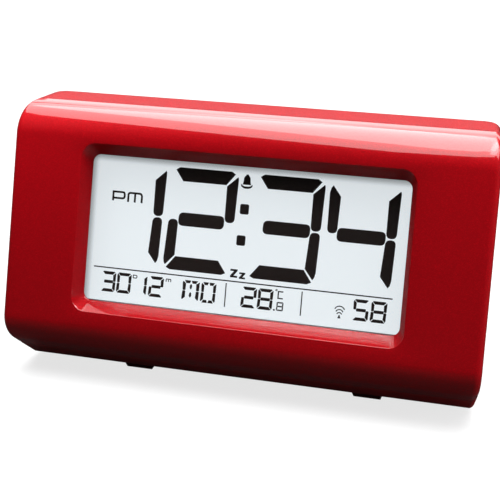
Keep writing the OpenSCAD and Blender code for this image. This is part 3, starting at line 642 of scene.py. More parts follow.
def metal_flake() -> bpy.types.NodeTree:
    """Metal flake under lacquer: small cells, each with its own brightness, over a slow drift.

    Returns:
        The node group.
    """
    g, io = new_group(Effect.FLAKE)
    place = g.add("ShaderNodeTexCoord").outputs["Object"]
    cells = g.add("ShaderNodeTexVoronoi", feature="F1")
    drift = g.add("ShaderNodeTexNoise", {"Scale": 30.0, "Detail": 2.0})
    g.join(io["in"]["Grain"], cells.inputs["Scale"])
    for node in (cells, drift):
        g.join(place, node.inputs["Vector"])
    split = g.add("ShaderNodeSeparateColor")
    g.join(cells.outputs["Color"], split.inputs[0])
    bright = g.maths("MULTIPLY", g.maths("POWER", split.outputs[0], 3.0), 1.6)
    level = g.maths("ADD", bright, g.maths("MULTIPLY", drift.outputs[0], 0.2))
    return put_out(g, io, level, split.outputs[1], split.outputs[2])


def drawn_metal() -> bpy.types.NodeTree:
    """Rolled or drawn metal and film: long fine lines along x, with clouds of tarnish.

    Returns:
        The node group.
    """
    g, io = new_group(Effect.DRAWN)
    place = g.add("ShaderNodeTexCoord").outputs["Object"]
    pull = g.add("ShaderNodeMapping", {"Scale": (0.06, 1.0, 1.0)})
    g.join(place, pull.inputs[0])
    lines = g.add("ShaderNodeTexNoise", {"Detail": 4.0, "Roughness": 0.7})
    g.join(io["in"]["Grain"], lines.inputs["Scale"])
    g.join(pull.outputs[0], lines.inputs["Vector"])
    cloud = g.add("ShaderNodeTexNoise", {"Scale": 120.0, "Detail": 3.0})
    g.join(place, cloud.inputs["Vector"])
    return put_out(g, io, cloud.outputs[0], lines.outputs[0], lines.outputs[0])


GROUPS = {
    Effect.MOULDED: moulded_grain(), Effect.FLAKE: metal_flake(), Effect.DRAWN: drawn_metal(),
}


# Finishes


@dataclass(frozen=True)
class Finish:
    """A finish: its colour, gloss and grain, and the shared effect that varies them."""

    slot: str
    colour: Colour
    roughness: float = 0.45
    effect: Effect = Effect.MOULDED
    colour_shift: float = 0.08
    roughness_shift: float = 0.08
    grain: float = 2500.0
    bump: float = 0.05
    bump_depth: float = 0.00002
    metallic: float = 0.0
    specular: float = 0.5
    coat: float = 0.0
    coat_roughness: float = 0.05
    coat_ior: float = 1.45
    alpha: float = 1.0
    edge_alpha: float = 0.0
    edge_blend: float = 0.31
    # Emission that only the camera sees: painted brightness, for the part is no lamp.
    glow: float = 0.0

    def material(self) -> bpy.types.Material:
        """Material of this finish, made on first use."""
        found = bpy.data.materials.get("finish_" + self.slot)
        return found or self.build()

    def build(self) -> bpy.types.Material:
        """Builds the material's nodes.

        Returns:
            The new material.
        """
        made = bpy.data.materials.new("finish_" + self.slot)
        g = fresh_graph(made)
        skin = g.add("ShaderNodeBsdfPrincipled", {
            "Metallic": self.metallic, "Specular IOR Level": self.specular,
            "Coat Weight": self.coat, "Coat Roughness": self.coat_roughness,
            "Coat IOR": self.coat_ior, "Alpha": self.alpha, "Emission Strength": self.glow,
        })
        g.join(skin.outputs[0], g.add("ShaderNodeOutputMaterial").inputs[0])
        effect = g.add("ShaderNodeGroup", node_tree=GROUPS[self.effect])
        values = {
            "Colour": (*self.colour, 1.0), "Colour Shift": self.colour_shift,
            "Roughness": self.roughness, "Roughness Shift": self.roughness_shift,
            "Grain": self.grain,
        }
        for name, value in values.items():
            effect.inputs[name].default_value = value
        g.join(effect.outputs["Colour"], skin.inputs["Base Color"])
        g.join(effect.outputs["Roughness"], skin.inputs["Roughness"])
        # Painted glow: brightness shown to the camera alone, not a lamp.
        if self.glow > 0:
            lit = shade(g, effect.outputs["Colour"], self.painted_glow_level(g))
            g.join(lit, skin.inputs["Emission Color"])
        if self.bump > 0:
            bump = g.add("ShaderNodeBump", {"Strength": self.bump, "Distance": self.bump_depth})
            g.join(effect.outputs["Height"], bump.inputs["Height"])
            g.join(bump.outputs[0], skin.inputs["Normal"])
        if self.edge_alpha > 0:
            facing = g.add("ShaderNodeLayerWeight", {"Blend": self.edge_blend})
            gain = g.maths("MULTIPLY", facing.outputs["Fresnel"], self.edge_alpha)
            g.join(g.maths("ADD", gain, self.alpha), skin.inputs["Alpha"])
        return made

    def painted_glow_level(self, g: Graph) -> bpy.types.NodeSocket:
        """Share of the painted glow that shows: all of it, to the camera alone."""
        return g.add("ShaderNodeLightPath").outputs["Is Camera Ray"]


@dataclass(frozen=True)
class GroundFinish(Finish):
    """The display's pale ground, fading to a soft painted shade under the upper and left lip."""

    # Place and soft width of each lip's painted shade in millimetres, and its deepest share.
    top: float = 21.05
    top_soft: float = 2.3
    left: float = -47.8
    left_soft: float = 2.4
    painted_shade_deepest: float = 0.42

    def painted_glow_level(self, g: Graph) -> bpy.types.NodeSocket:
        """Share of the painted glow that shows, less under the painted shade of the two lips.

        The height on the face is the dot product of the place with the face's upward direction.

        Args:
            g: Graph of the material.

        Returns:
            The share, from 0 to 1.
        """
        place = g.add("ShaderNodeTexCoord").outputs["Object"]
        up = g.add("ShaderNodeVectorMath", {1: (0, *CASE.face_up)}, operation="DOT_PRODUCT")
        g.join(place, up.inputs[0])
        across = g.add("ShaderNodeSeparateXYZ")
        g.join(place, across.inputs[0])
        base = float(np.dot(CASE.from_face(np.zeros(3))[1:], CASE.face_up))
        shares = []
        # Painted shade: along each lip the glow falls smoothly to the deepest share.
        for out, edge, soft in (
            (up.outputs["Value"], base + self.top * MM, -self.top_soft * MM),
            (across.outputs["X"], self.left * MM, self.left_soft * MM),
        ):
            fade = g.add("ShaderNodeMapRange", {
                "From Min": edge, "From Max": edge + soft, "To Min": self.painted_shade_deepest, "To Max": 1.0,
            }, clamp=True, interpolation_type="SMOOTHSTEP")
            g.join(out, fade.inputs["Value"])
            shares.append(fade.outputs[0])
        return g.maths("MULTIPLY", g.maths("MULTIPLY", *shares), super().painted_glow_level(g))


FINISHES = {f.slot: f for f in (
    Finish("red_gloss", (0.32, 0.0008, 0.0038), 0.42, Effect.FLAKE, 0.14, 0.06, 5200.0, 0.06,
           metallic=0.12, specular=0.06, coat=1.0, coat_ior=1.58),
    Finish("red_satin", (0.33, 0.0012, 0.0045), 0.45, grain=4200.0, bump=0.08, specular=0.2,
           coat=0.25, coat_roughness=0.2),
    Finish("clear_lens", (0.96, 0.97, 0.97), 0.05, colour_shift=0.02, roughness_shift=0.02,
           bump=0.0, metallic=1.0, alpha=0.0, edge_alpha=0.4),
    Finish("lcd_glass", (0.30, 0.32, 0.32), 0.08, roughness_shift=0.02, alpha=0.004, bump=0.0),
    Finish("lcd_ink", (0.014, 0.009, 0.008), 0.6, colour_shift=0.1, specular=0.2),
    # Display ground: painted glow seen by the camera alone, with painted shade along two lips.
    GroundFinish("lcd_silver", (0.31, 0.331, 0.343), 0.6, Effect.MOULDED, 0.01, 0.06, 9000.0,
                 bump=0.0, specular=0.0, glow=2.25),
    Finish("guide_clear", (0.85, 0.88, 0.88), 0.2, alpha=0.5, bump=0.0),
    Finish("lamp_body", (0.82, 0.74, 0.42), 0.3),
    Finish("white_frame", (0.80, 0.83, 0.85), 0.5, grain=3000.0),
    Finish("elastomer", (0.78, 0.80, 0.82), 0.6, Effect.DRAWN, grain=20000.0),
    Finish("board_green", (0.018, 0.14, 0.06), 0.35, colour_shift=0.25, grain=900.0),
    Finish("resin_black", (0.010, 0.010, 0.011), 0.3, grain=1500.0),
    Finish("plated_metal", (0.66, 0.66, 0.63), 0.28, Effect.DRAWN, 0.1, 0.12, 6000.0, metallic=1.0),
    Finish("screw_steel", (0.50, 0.50, 0.52), 0.32, Effect.DRAWN, 0.12, 0.12, 5000.0, metallic=1.0),
    Finish("capacitor_blue", (0.03, 0.04, 0.16), 0.3, grain=1500.0),
    Finish("switch_black", (0.015, 0.015, 0.016), 0.5, grain=3000.0),
    Finish("key_black", (0.019, 0.019, 0.020), 0.42, grain=3600.0, bump=0.12, colour_shift=0.12),
    Finish("cell_wrap", (0.035, 0.075, 0.17), 0.25, Effect.DRAWN, 0.1, 0.08, 4000.0, coat=0.6),
    Finish("ferrite", (0.022, 0.021, 0.021), 0.6, grain=3500.0, bump=0.2, colour_shift=0.25),
    Finish("winding", (0.42, 0.15, 0.045), 0.32, Effect.DRAWN, 0.15, 0.1, 9000.0, bump=0.2,
           metallic=0.8),
    Finish("brass_disc", (0.62, 0.43, 0.14), 0.26, Effect.DRAWN, 0.1, 0.12, 5000.0, metallic=1.0),
    Finish("ceramic", (0.72, 0.70, 0.64), 0.45, grain=4000.0),
    Finish("foot_rubber", (0.075, 0.006, 0.009), 0.75, grain=4000.0, bump=0.25, colour_shift=0.2),
)}


def dress(piece: bpy.types.Object, slot: str, body: str, *nodes: str) -> bpy.types.Object:
    """Gives a new piece its finish and body, and hides the CAD nodes that it stands for.

    Args:
        piece: Finished piece at the origin.
        slot: Material slot of the record.
        body: Body that it rides on.
        nodes: CAD nodes that it replaces.

    Returns:
        The same piece.
    """
    piece.data.materials.clear()
    piece.data.materials.append(FINISHES[slot].material())
    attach(piece, body)
    if nodes:
        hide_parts(*nodes)
    log.info("piece %s: %d faces, rides on %s", piece.name, len(piece.data.polygons), body)
    return piece


# Front shell


@dataclass(frozen=True)
class FrontShell:
    """Glossy tray: ledge, top round, leaning face with its window well, chin round and chin."""

    win_w: float = 92.5
    win_h: float = 42.1
    win_r: float = 2.3
    win_depth: float = 4.2
    bevel_x: float = 2.0
    bevel_y: float = 3.0
    lip: float = 0.4
    lip_soft: float = 0.3
    edge_soft: float = 0.06
    pocket_w: float = 97.6
    pocket_h: float = 47.2
    pocket_r: float = 0.4
    pocket_rim: float = 1.3
    block_depth: float = 8.35
    opening_x: float = 53.0
    straight_x: int = 30
    straight_v: int = 14
    corner: int = 6
    top_rows: int = 30
    chin_rows: int = 24
    roll_steps: int = 9
    inner_roll: float = 0.5

    ENDS = (1, 0.66, 0.33, 0.02)  # places along the two straight ends, from the seam

    def side_marks(self, far: float, near: float, steps: int) -> Array:
        """Places along one side of the opening: corner, straight and corner stretches."""
        return np.concatenate([
            np.linspace(-far, -near, self.corner + 1), np.linspace(-near, near, steps + 1)[1:],
            np.linspace(near, far, self.corner + 1)[1:],
        ])

    def opening_marks(self) -> tuple[Array, Array]:
        """Columns across and rows down the flat face round the window.

        Returns:
            Places across from left to right, and places down from the top.
        """
        r = self.win_r + self.bevel_x
        near_x, near_v = self.win_w / 2 + self.bevel_x - r, self.win_h / 2 + self.bevel_y - r
        columns = self.side_marks(self.opening_x, near_x, self.straight_x)
        rows = -self.side_marks(1.0, 0.0, 0)[: self.corner + 1]
        top = near_v + rows * (CASE.face_len - CASE.window_rise - near_v)
        low = -near_v - rows[::-1] * (CASE.window_rise - near_v)
        middle = np.linspace(near_v, -near_v, self.straight_v + 1)[1:-1]
        return columns, np.concatenate([top, middle, low])

    def profile(self, inset: float) -> dict[str, Array]:
        """Rows down the section: point, outward normal, and the run of the two straight ends.

        Args:
            inset: How far the section is drawn in from the outside.

        Returns:
            Arrays over the rows: base (y, z), normal (y, z), run (y, z) and share of the run.
        """
        _, face_rows = self.opening_marks()
        face_a = math.pi - CASE.tilt
        chin_a = math.pi * 1.5 - CASE.chin_slope
        top_n = on_circle(np.linspace(math.pi / 2, face_a, self.top_rows)[:-1])
        low_n = on_circle(np.linspace(face_a, chin_a, self.chin_rows)[1:])
        top = CASE.top_c + (CASE.top_r - inset) * top_n
        face = face_rows[:, None] * CASE.face_up + inset * CASE.face_in
        low = CASE.chin_c + (CASE.chin_r - inset) * low_n
        flat = np.repeat(-CASE.face_in[None], len(face_rows), axis=0)
        ends = np.array(self.ENDS)
        count = (len(ends), 1)
        base = np.concatenate([np.tile(top[0], count), top, face, low, np.tile(low[-1], count)])
        normal = np.concatenate([
            np.tile([0.0, 1.0], count), top_n, flat, low_n, np.tile(CASE.chin_n, count),
        ])
        still = np.zeros((len(base) - 2 * len(ends), 2))
        run = np.concatenate([np.tile([1.0, 0.0], count), still, np.tile(CASE.chin_run, count)])
        share = np.concatenate([ends, still[:, 0], ends[::-1]])
        return {"base": base, "normal": normal, "run": run, "share": share}

    def skin(self, inset: float, roll: float) -> Array:
        """Skin of the tray as a grid: the section carried across, rolled over each end to the seam.

        At each row a ball of the roll radius touches the section and the side plane, and the arc
        between the two touching points turns from the section's normal to the side's. Each column
        of the ledge and of the chin is cut off where it meets the seam plane.

        Args:
            inset: How far the skin is drawn in from the outside.
            roll: Radius of the rolled ends.

        Returns:
            (rows, columns, 3) points about the window centre in millimetres.
        """
        p = self.profile(inset)
        n = CASE.side_n
        normal = np.concatenate([np.zeros((len(p["base"]), 1)), p["normal"]], axis=1)
        turn = np.arccos(normal @ n)[:, None, None]
        t = np.linspace(0, 1, self.roll_steps + 1)[None, :, None]
        lean = (np.sin((1 - t) * turn) * normal[:, None] + np.sin(t * turn) * n) / np.sin(turn)
        shift = roll * (lean - normal[:, None])
        shift[:, :, 0] = roll * lean[:, :, 0]
        depth = (p["base"][:, None] + shift[:, :, 1:]) @ CASE.face_in
        fall = (p["run"] @ CASE.face_in)[:, None]
        falls = fall > 0
        reach = np.where(falls, (CASE.seam_depth - depth) / np.where(falls, fall, 1), 0)
        reach = reach * p["share"][:, None]
        foot = p["base"][:, None] + reach[..., None] * p["run"][:, None]
        ball = foot - roll * p["normal"][:, None]
        ball_x = (CASE.side_c - inset - roll - ball @ n[1:]) / n[0]
        arc_x = (ball_x + shift[:, :, 0])[..., None]
        arc = np.concatenate([arc_x, foot + shift[:, :, 1:]], axis=-1)
        hole_x, _ = self.opening_marks()
        thirds = np.array([1 / 3, 2 / 3, 1])
        flat_x = self.opening_x + thirds[:-1] * (arc[:, :1, 0] - self.opening_x)
        x = np.concatenate([np.broadcast_to(hole_x, (len(arc), len(hole_x))), flat_x], axis=1)
        flat = np.concatenate([x[..., None], np.repeat(foot[:, :1], x.shape[1], axis=1)], axis=-1)
        left = CASE.seam_depth - arc[:, -1:, 1:] @ CASE.face_in
        into = np.array([-math.tan(CASE.side_taper), *CASE.face_in])
        side = arc[:, -1:] + (thirds * left)[..., None] * into
        right = np.concatenate([flat[:, len(hole_x):], arc, side], axis=1)
        mirror = right[:, ::-1] * np.array([-1, 1, 1])
        return np.concatenate([mirror, flat[:, : len(hole_x)], right], axis=1)

    def outline(self, w: float, h: float, r: float) -> Array:
        """Rounded rectangle with as many points as the opening's edge, from the top left corner.

        A side is half a corner, a straight run and half a corner, and is turned to all four places.

        Args:
            w: Width.
            h: Height.
            r: Corner radius.

        Returns:
            (n, 2) array of points, clockwise as seen from the front.
        """
        first = r * on_circle(np.radians(np.linspace(135, 90, self.corner + 1)[:-1]))
        last = r * on_circle(np.radians(np.linspace(90, 45, self.corner + 1)[:-1]))
        turns = ((1, 0), (0, -1), (-1, 0), (0, 1))
        spans = ((w, h, self.straight_x), (h, w, self.straight_v)) * 2
        sides = []
        for (c, s), (wide, high, steps) in zip(turns, spans):
            a, b = wide / 2 - r, high / 2 - r
            run = np.linspace(-a, a, steps + 1)[:-1]
            side = np.concatenate([
                np.array([-a, b]) + first, np.stack([run, np.full(steps, b + r)], axis=-1),
                np.array([a, b]) + last,
            ])
            sides.append(side @ np.array([[c, s], [-s, c]]))
        return np.concatenate(sides)

    def ring(self, w: float, h: float, r: float, depth: float) -> Array:
        """Rounded rectangle of the well at a depth below the face."""
        return at_depths([self.outline(w, h, r)], [depth])[0]

    def bevel(self, f: float, grow: float = 0.0, depth: float | None = None) -> Array:
        """Ring of the bevel, which narrows evenly from the face to the lip.

        Args:
            f: Share of the way down the bevel.
            grow: How far the ring is drawn outwards.
            depth: Depth below the face, or None for the bevel's own.

        Returns:
            (n, 3) points in the face frame.
        """
        left = 1 - f
        wide = self.win_w + 2 * self.bevel_x * left + 2 * grow
        high = self.win_h + 2 * self.bevel_y * left + 2 * grow
        depth = self.win_depth * f if depth is None else depth
        return self.ring(wide, high, self.win_r + self.bevel_x * left + grow, depth)

    def well(self) -> Array:
        """Rings of the window well, over a soft edge, down the bevel and the lip to the pocket.

        Returns:
            (rings, n, 3) points in the face frame.
        """
        bottom, rim = self.win_depth + self.lip, 2 * self.pocket_rim
        under = self.bevel(1, depth=self.win_depth + self.lip_soft)
        rings = soft_rings(self.bevel(0, self.edge_soft), self.bevel(0), self.bevel(0.03), 4)
        rings += [self.bevel(0.35), self.bevel(0.65)]
        rings += soft_rings(self.bevel(0.92), self.bevel(1), under, 6)
        rings += [self.bevel(1, depth=bottom)]
        seat = (self.pocket_w, self.pocket_h, self.pocket_r)
        wall = (self.pocket_w + rim, self.pocket_h + rim, self.win_r)
        rings += [self.ring(*seat, d) for d in (bottom, self.block_depth)]
        rings += [self.ring(*wall, d) for d in (self.block_depth, CASE.wall)]
        return np.stack(rings)

    def build(self) -> bpy.types.Object:
        """Makes the closed shell: outer and inner skin, the well between them and the seam face.

        Returns:
            The dressed tray.
        """
        parts = MeshParts()
        hole_x, face_rows = self.opening_marks()
        side = (len(self.skin(0, CASE.edge_r)[0]) - len(hole_x)) // 2
        row0 = len(self.ENDS) + self.top_rows - 1
        rows, columns = slice(row0, row0 + len(face_rows)), slice(side, side + len(hole_x))
        loops, borders = [], []
        for inset, roll in ((0.0, CASE.edge_r), (CASE.wall, self.inner_roll)):
            ids = parts.add_points(CASE.from_case(self.skin(inset, roll)))
            skip = np.zeros((ids.shape[0] - 1, ids.shape[1] - 1), bool)
            skip[rows.start: rows.stop - 1, columns.start: columns.stop - 1] = True
            parts.add_quads(ids, skip=skip)
            loops.append(edge_loop(ids[rows, columns]))
            borders.append(edge_loop(ids))
        well = parts.add_grid(CASE.from_face(self.well()), closed=True)
        parts.add_quads(np.stack([loops[0], well[0]]), closed=True)
        parts.add_quads(np.stack([well[-1], loops[1]]), closed=True)
        parts.add_quads(np.stack(borders), closed=True)
        return dress(parts.to_object("front_tray"), "red_gloss", "case", "front_shell")


def soft_rings(first: Array, corner: Array, last: Array, steps: int) -> list[Array]:
    """Rings from one to another, along parabolas that are drawn towards a corner ring."""
    return [parabola(first, corner, last, k) for k in np.linspace(0, 1, steps + 1)]


def edge_loop(ids: Array) -> Array:
    """Numbers round the edge of a grid, from its first corner along the first row."""
    return np.concatenate([ids[0, :-1], ids[:-1, -1], ids[-1, :0:-1], ids[:0:-1, 0]])


# Top bar


@dataclass(frozen=True)
class TopBar:
    """Snooze bar: a cap with a rolled rim, round rear corners and a flat front at the seam."""

    gap: float = 0.35
    height: float = 5.0
    wall: float = 1.8
    rim_r: float = 2.2
    rim_least: float = 0.4
    round_least: float = 0.5
    front_r: float = 0.05
    side_steps: int = 8
    corner_steps: int = 12
    rear_steps: int = 24
    rim_steps: int = 8
    stem_y: float = 27.04
    stem_d: float = 4.0
    stem_out: float = 1.5
    socket_x: float = 36.0
    socket_y: float = 26.44
    socket_h: float = 0.8
    socket_d: float = 6.8
    socket_bore: float = 5.0
    leg_x: float = 24.0
    leg_w: float = 6.0
    leg_t: float = 1.5
    leg_r: float = 0.2
    leg_out: float = 5.25
    barb: float = 1.6
    sink: float = 0.5
    cup_lap: float = 0.01

    def under(self, y: float) -> float:
        """Height of the cap's inner face at a place from front to back."""
        fall = (y - CASE.seam_y) * math.tan(CASE.bar_fall)
        return CASE.top_z - fall - self.wall / math.cos(CASE.bar_fall)

    def inner_parts(self) -> list[Array]:
        """Rings of the stem over the switch, the spring sockets and the two barbed legs.

        Returns:
            One stack of rings for each, about the window centre.
        """
        foot, top = CASE.top_z - self.height, self.under(self.socket_y)
        rim, low = top - self.socket_h, foot - self.leg_out
        root = self.under(self.stem_y) + self.sink
        stem, wide, bore = (round_ring(d) for d in (self.stem_d, self.socket_d, self.socket_bore))
        leg = box_ring(self.leg_w, self.leg_t, self.leg_r)
        hook = box_ring(self.leg_w, self.leg_t + self.barb, self.leg_r)
        cup = at_depths([bore, bore, wide, wide], [top - self.cup_lap, rim, rim, top + self.sink])
        post = at_depths([leg, leg], [low, root])
        barb = at_depths([hook, hook], [low, low + self.barb])
        pin = at_depths([stem, stem], [foot - self.stem_out, root])
        made = [pin + np.array([0, self.stem_y, 0])]
        for side in (-1, 1):
            made.append(cup + np.array([side * self.socket_x, self.socket_y, 0]))
            made.append(post + np.array([side * self.leg_x, self.stem_y, 0]))
            made.append(barb + np.array([side * self.leg_x, self.stem_y + self.barb / 2, 0]))
        return made

    def sloped(self, x: Array, y: Array, z: Array, level: Array) -> Array:
        """Puts points in space; above the foot they sink by (y - seam) tan(fall) to the back.

        Args:
            x: Places across.
            y: Places from front to back.
            z: Heights before the fall.
            level: 0 at the foot and more above it.

        Returns:
            Points about the window centre.
        """
        fall = np.where(level > 0, (y - CASE.seam_y) * math.tan(CASE.bar_fall), 0)
        return np.stack([x, y, np.broadcast_to(z, x.shape) - fall], axis=-1)

    def shell(self, inset: float) -> tuple[list[Array], Array]:
        """One skin of the cap, drawn in by an inset.

        Each level is a plan outline: tapered sides, round rear corners and the back, drawn in as
        the rim turns over. The rim follows drop = r (1 - sin a) and draw = r (1 - cos a).

        Args:
            inset: How far the skin is drawn in from the outside.

        Returns:
            Grids of points about the window centre, and the loop of its foot.
        """
        rim = max(self.rim_r - inset, self.rim_least)
        a = np.linspace(0, math.pi / 2, self.rim_steps + 1)
        draw = np.concatenate([[0.0], rim * (1 - np.cos(a))])[:, None]
        drop = np.concatenate([[self.height - inset], rim * (1 - np.sin(a))])[:, None] + inset
        nip = np.concatenate([[0.0], self.front_r * (1 - np.cos(a))])[:, None]
        z = CASE.top_z - drop
        k = math.hypot(CASE.side_n[0], CASE.side_n[1])
        m = CASE.side_n[:2] / k
        side = (CASE.side_c - inset - CASE.side_n[2] * z) / k - draw
        c, s = math.cos(CASE.back_lean), math.sin(CASE.back_lean)
        back = CASE.back_y(0) - s / c * z - inset / c - draw
        front = (CASE.seam_depth + self.gap + inset - z * CASE.face_in[1]) / CASE.face_in[0] + nip
        round_r = np.maximum(CASE.corner_r - inset - draw, self.round_least)
        mid_y = back - round_r
        mid_x = (side - round_r - m[1] * mid_y) / m[0]
        turn = np.linspace(math.atan2(m[1], m[0]), math.pi / 2, self.corner_steps + 1)
        arc_x, arc_y = mid_x + round_r * np.cos(turn), mid_y + round_r * np.sin(turn)
        f = np.linspace(0, 1, self.side_steps + 1)[:-1]
        side_y = front + (arc_y[:, :1] - front) * f
        x = np.concatenate([(side - m[1] * side_y) / m[0], arc_x], axis=1)
        y = np.concatenate([side_y, arc_y], axis=1)
        across = np.linspace(1, -1, 2 * self.rear_steps + 1)
        rear_x = x[:, -1:] * across[1:-1]
        rear_y = np.broadcast_to(y[:, -1:], rear_x.shape)
        wall_x = np.concatenate([x, rear_x, -x[:, ::-1]], axis=1)
        wall_y = np.concatenate([y, rear_y, y[:, ::-1]], axis=1)
        front_x = x[:, :1] * across
        front_y = np.broadcast_to(y[:, :1], front_x.shape)
        cap_x = x[-1][:, None] * across
        cap_y = np.broadcast_to(y[-1][:, None], cap_x.shape)
        level = np.arange(len(z))[:, None]
        wall = self.sloped(wall_x, wall_y, z, level)
        fore = self.sloped(front_x, front_y, z, level)
        cap = self.sloped(cap_x, cap_y, z[-1:], np.ones((1, 1)))
        return [wall, fore, cap], np.concatenate([wall[0], fore[0][::-1][1:-1]])

    def build(self) -> bpy.types.Object:
        """Makes the hollow cap: two skins joined at the foot, with stem, sockets and legs below.

        Returns:
            The dressed cap.
        """
        parts = MeshParts()
        feet = []
        for inset in (0.0, self.wall):
            grids, foot = self.shell(inset)
            for grid in grids:
                parts.add_grid(CASE.from_case(grid))
            feet.append(foot)
        parts.add_grid(CASE.from_case(np.stack(feet)), closed=True)
        for rings in self.inner_parts():
            parts.add_loft(CASE.from_case(rings))
        return dress(parts.to_object("top_bar_cap"), "red_gloss", "top_bar", "snooze_bar")


# Display


@dataclass(frozen=True)
class Strokes:
    """One size of seven-stroke figures, mitred at the corners and round at the waist."""

    width: float
    height: float
    level: float
    upright: float
    waist_r: float
    gap: float
    lean: float = math.tan(math.radians(1.8))

    LIT = {
        "0": "abcdef", "1": "bc", "2": "abged", "3": "abgcd", "4": "fgbc", "5": "afgcd",
        "8": "abcdefg",
    }

    @property
    def sizes(self) -> tuple[float, float, float, float, float]:
        """Half width, half height, thickness of level and upright strokes, and gap."""
        return self.width / 2, self.height / 2, self.level, self.upright, self.gap

    def bar(self, corner: float, tip: float, drop: float) -> Array:
        """Level stroke at the top: long outside, drawn in along the mitres to its inner side.

        Args:
            corner: How far its outer corners lie in, in upright thicknesses.
            tip: How far its tips lie in, in upright thicknesses.
            drop: How far its tips lie down, in level thicknesses.

        Returns:
            Outline about the figure's middle.
        """
        a, b, t, u, g = self.sizes
        half = np.array([
            (a - corner * u, b), (a - tip * u, b - drop * t), (a - u - 0.75 * g, b - t),
        ])
        return np.concatenate([half[::-1] * [-1, 1], half])

    def post(self, tip: float, outer: float, inner: float) -> Array:
        """Upright stroke at the upper right, from a rounded tip on the mitre to the waist.

        Args:
            tip: How far its tip lies in, in upright thicknesses; its round grows with it.
            outer: How far the waist is drawn in on the outside, in upright thicknesses.
            inner: The same on the inside.

        Returns:
            Outline about the figure's middle.
        """
        a, b, t, u, g = self.sizes
        return rounded_polygon([
            (a - tip * u, b - (0.37 - 0.16 * tip) * t, 0),
            (a - 0.39 * tip * u, b - (0.4 + 0.41 * tip) * t, 0.45 * tip * u),
            (a, b - (0.45 + 1.6 * tip) * t, 1.8 * tip * u),
            (a - outer * u, g / 2, self.waist_r),
            (a - u + inner * u, g / 2, self.waist_r),
            (a - u, b - t - g, 0),
        ])

    def middle(self) -> Array:
        """Level stroke at the waist, a little longer to the right.

        Returns:
            Outline about the figure's middle.
        """
        a, _, t, u, g = self.sizes
        reach = a - u + 0.1 * g - 0.02 * u
        far = reach + 0.1 * u
        ends = ((far, 1), (-reach, 1), (-reach, -1), (far, -1))
        return rounded_polygon([(x, y * t * 0.49, self.waist_r) for x, y in ends])

    def shapes(self) -> dict[str, Array]:
        """Outlines of the seven strokes about the figure's middle, upright.

        Returns:
            Outlines by the usual letters, from a at the top round to f, and g in the middle.
        """
        flip_x, flip_y = np.array([-1, 1]), np.array([1, -1])
        return {
            "a": self.bar(0.68, 0.33, 0.19),
            "b": self.post(0.08, 0, 0.11),
            "c": self.post(0.24, 0, 0.11) * flip_y,
            "d": self.bar(0.68, 0.3, 0.15) * flip_y,
            "e": self.post(0.2, 0.1, 0) * flip_x * flip_y,
            "f": self.post(0.25, 0.14, 0) * flip_x,
            "g": self.middle(),
        }

    def figure(self, sign: str, x: float, y: float) -> list[Array]:
        """Outlines of one figure, leaning, at its place on the display."""
        shapes = self.shapes()
        return [self.leaning(shapes[k], x, y) for k in self.LIT[sign]]

    def leaning(self, outline: Array, x: float, y: float) -> Array:
        """An outline leant to the right by height times lean, and put at its place."""
        return np.stack([x + outline[:, 0] + outline[:, 1] * self.lean, y + outline[:, 1]], axis=-1)


BIG = Strokes(width=19.85, height=29.3, level=3.92, upright=3.25, waist_r=1.5, gap=0.34)
SMALL = Strokes(width=4.42, height=5.92, level=0.9, upright=0.88, waist_r=0.26, gap=0.12)
TINY = Strokes(width=2.0, height=2.5, level=0.38, upright=0.38, waist_r=0.1, gap=0.05)
MITRE_LEAST = 0.3  # least cosine at a bend of a band, so that sharp mitres stay short


def band(path: Sequence[Sequence[float]], thick: float) -> Array:
    """Outline of a line of even thickness along a path, mitred at its bends.

    Each point moves half the thickness both ways along the mean of the normals of the two runs
    that meet there, lengthened by the mitre.

    Args:
        path: Points of the path.
        thick: Thickness of the line.

    Returns:
        Outline points as an (n, 2) array.
    """
    p = np.asarray(path, float)
    d = np.diff(p, axis=0)
    d /= np.linalg.norm(d, axis=1, keepdims=True)
    n = np.stack([-d[:, 1], d[:, 0]], axis=-1)
    before, after = np.concatenate([n[:1], n]), np.concatenate([n, n[-1:]])
    mean = before + after
    mean /= np.maximum((mean * before).sum(1, keepdims=True), MITRE_LEAST)
    return np.concatenate([p + mean * thick / 2, (p - mean * thick / 2)[::-1]])


def arc_path(x: float, y: float, r: float, start: float, end: float, steps: int = 12) -> Array:
    """Points on an arc about (x, y) between two angles in degrees."""
    return np.array([x, y]) + r * on_circle(np.radians(np.linspace(start, end, steps + 1)))


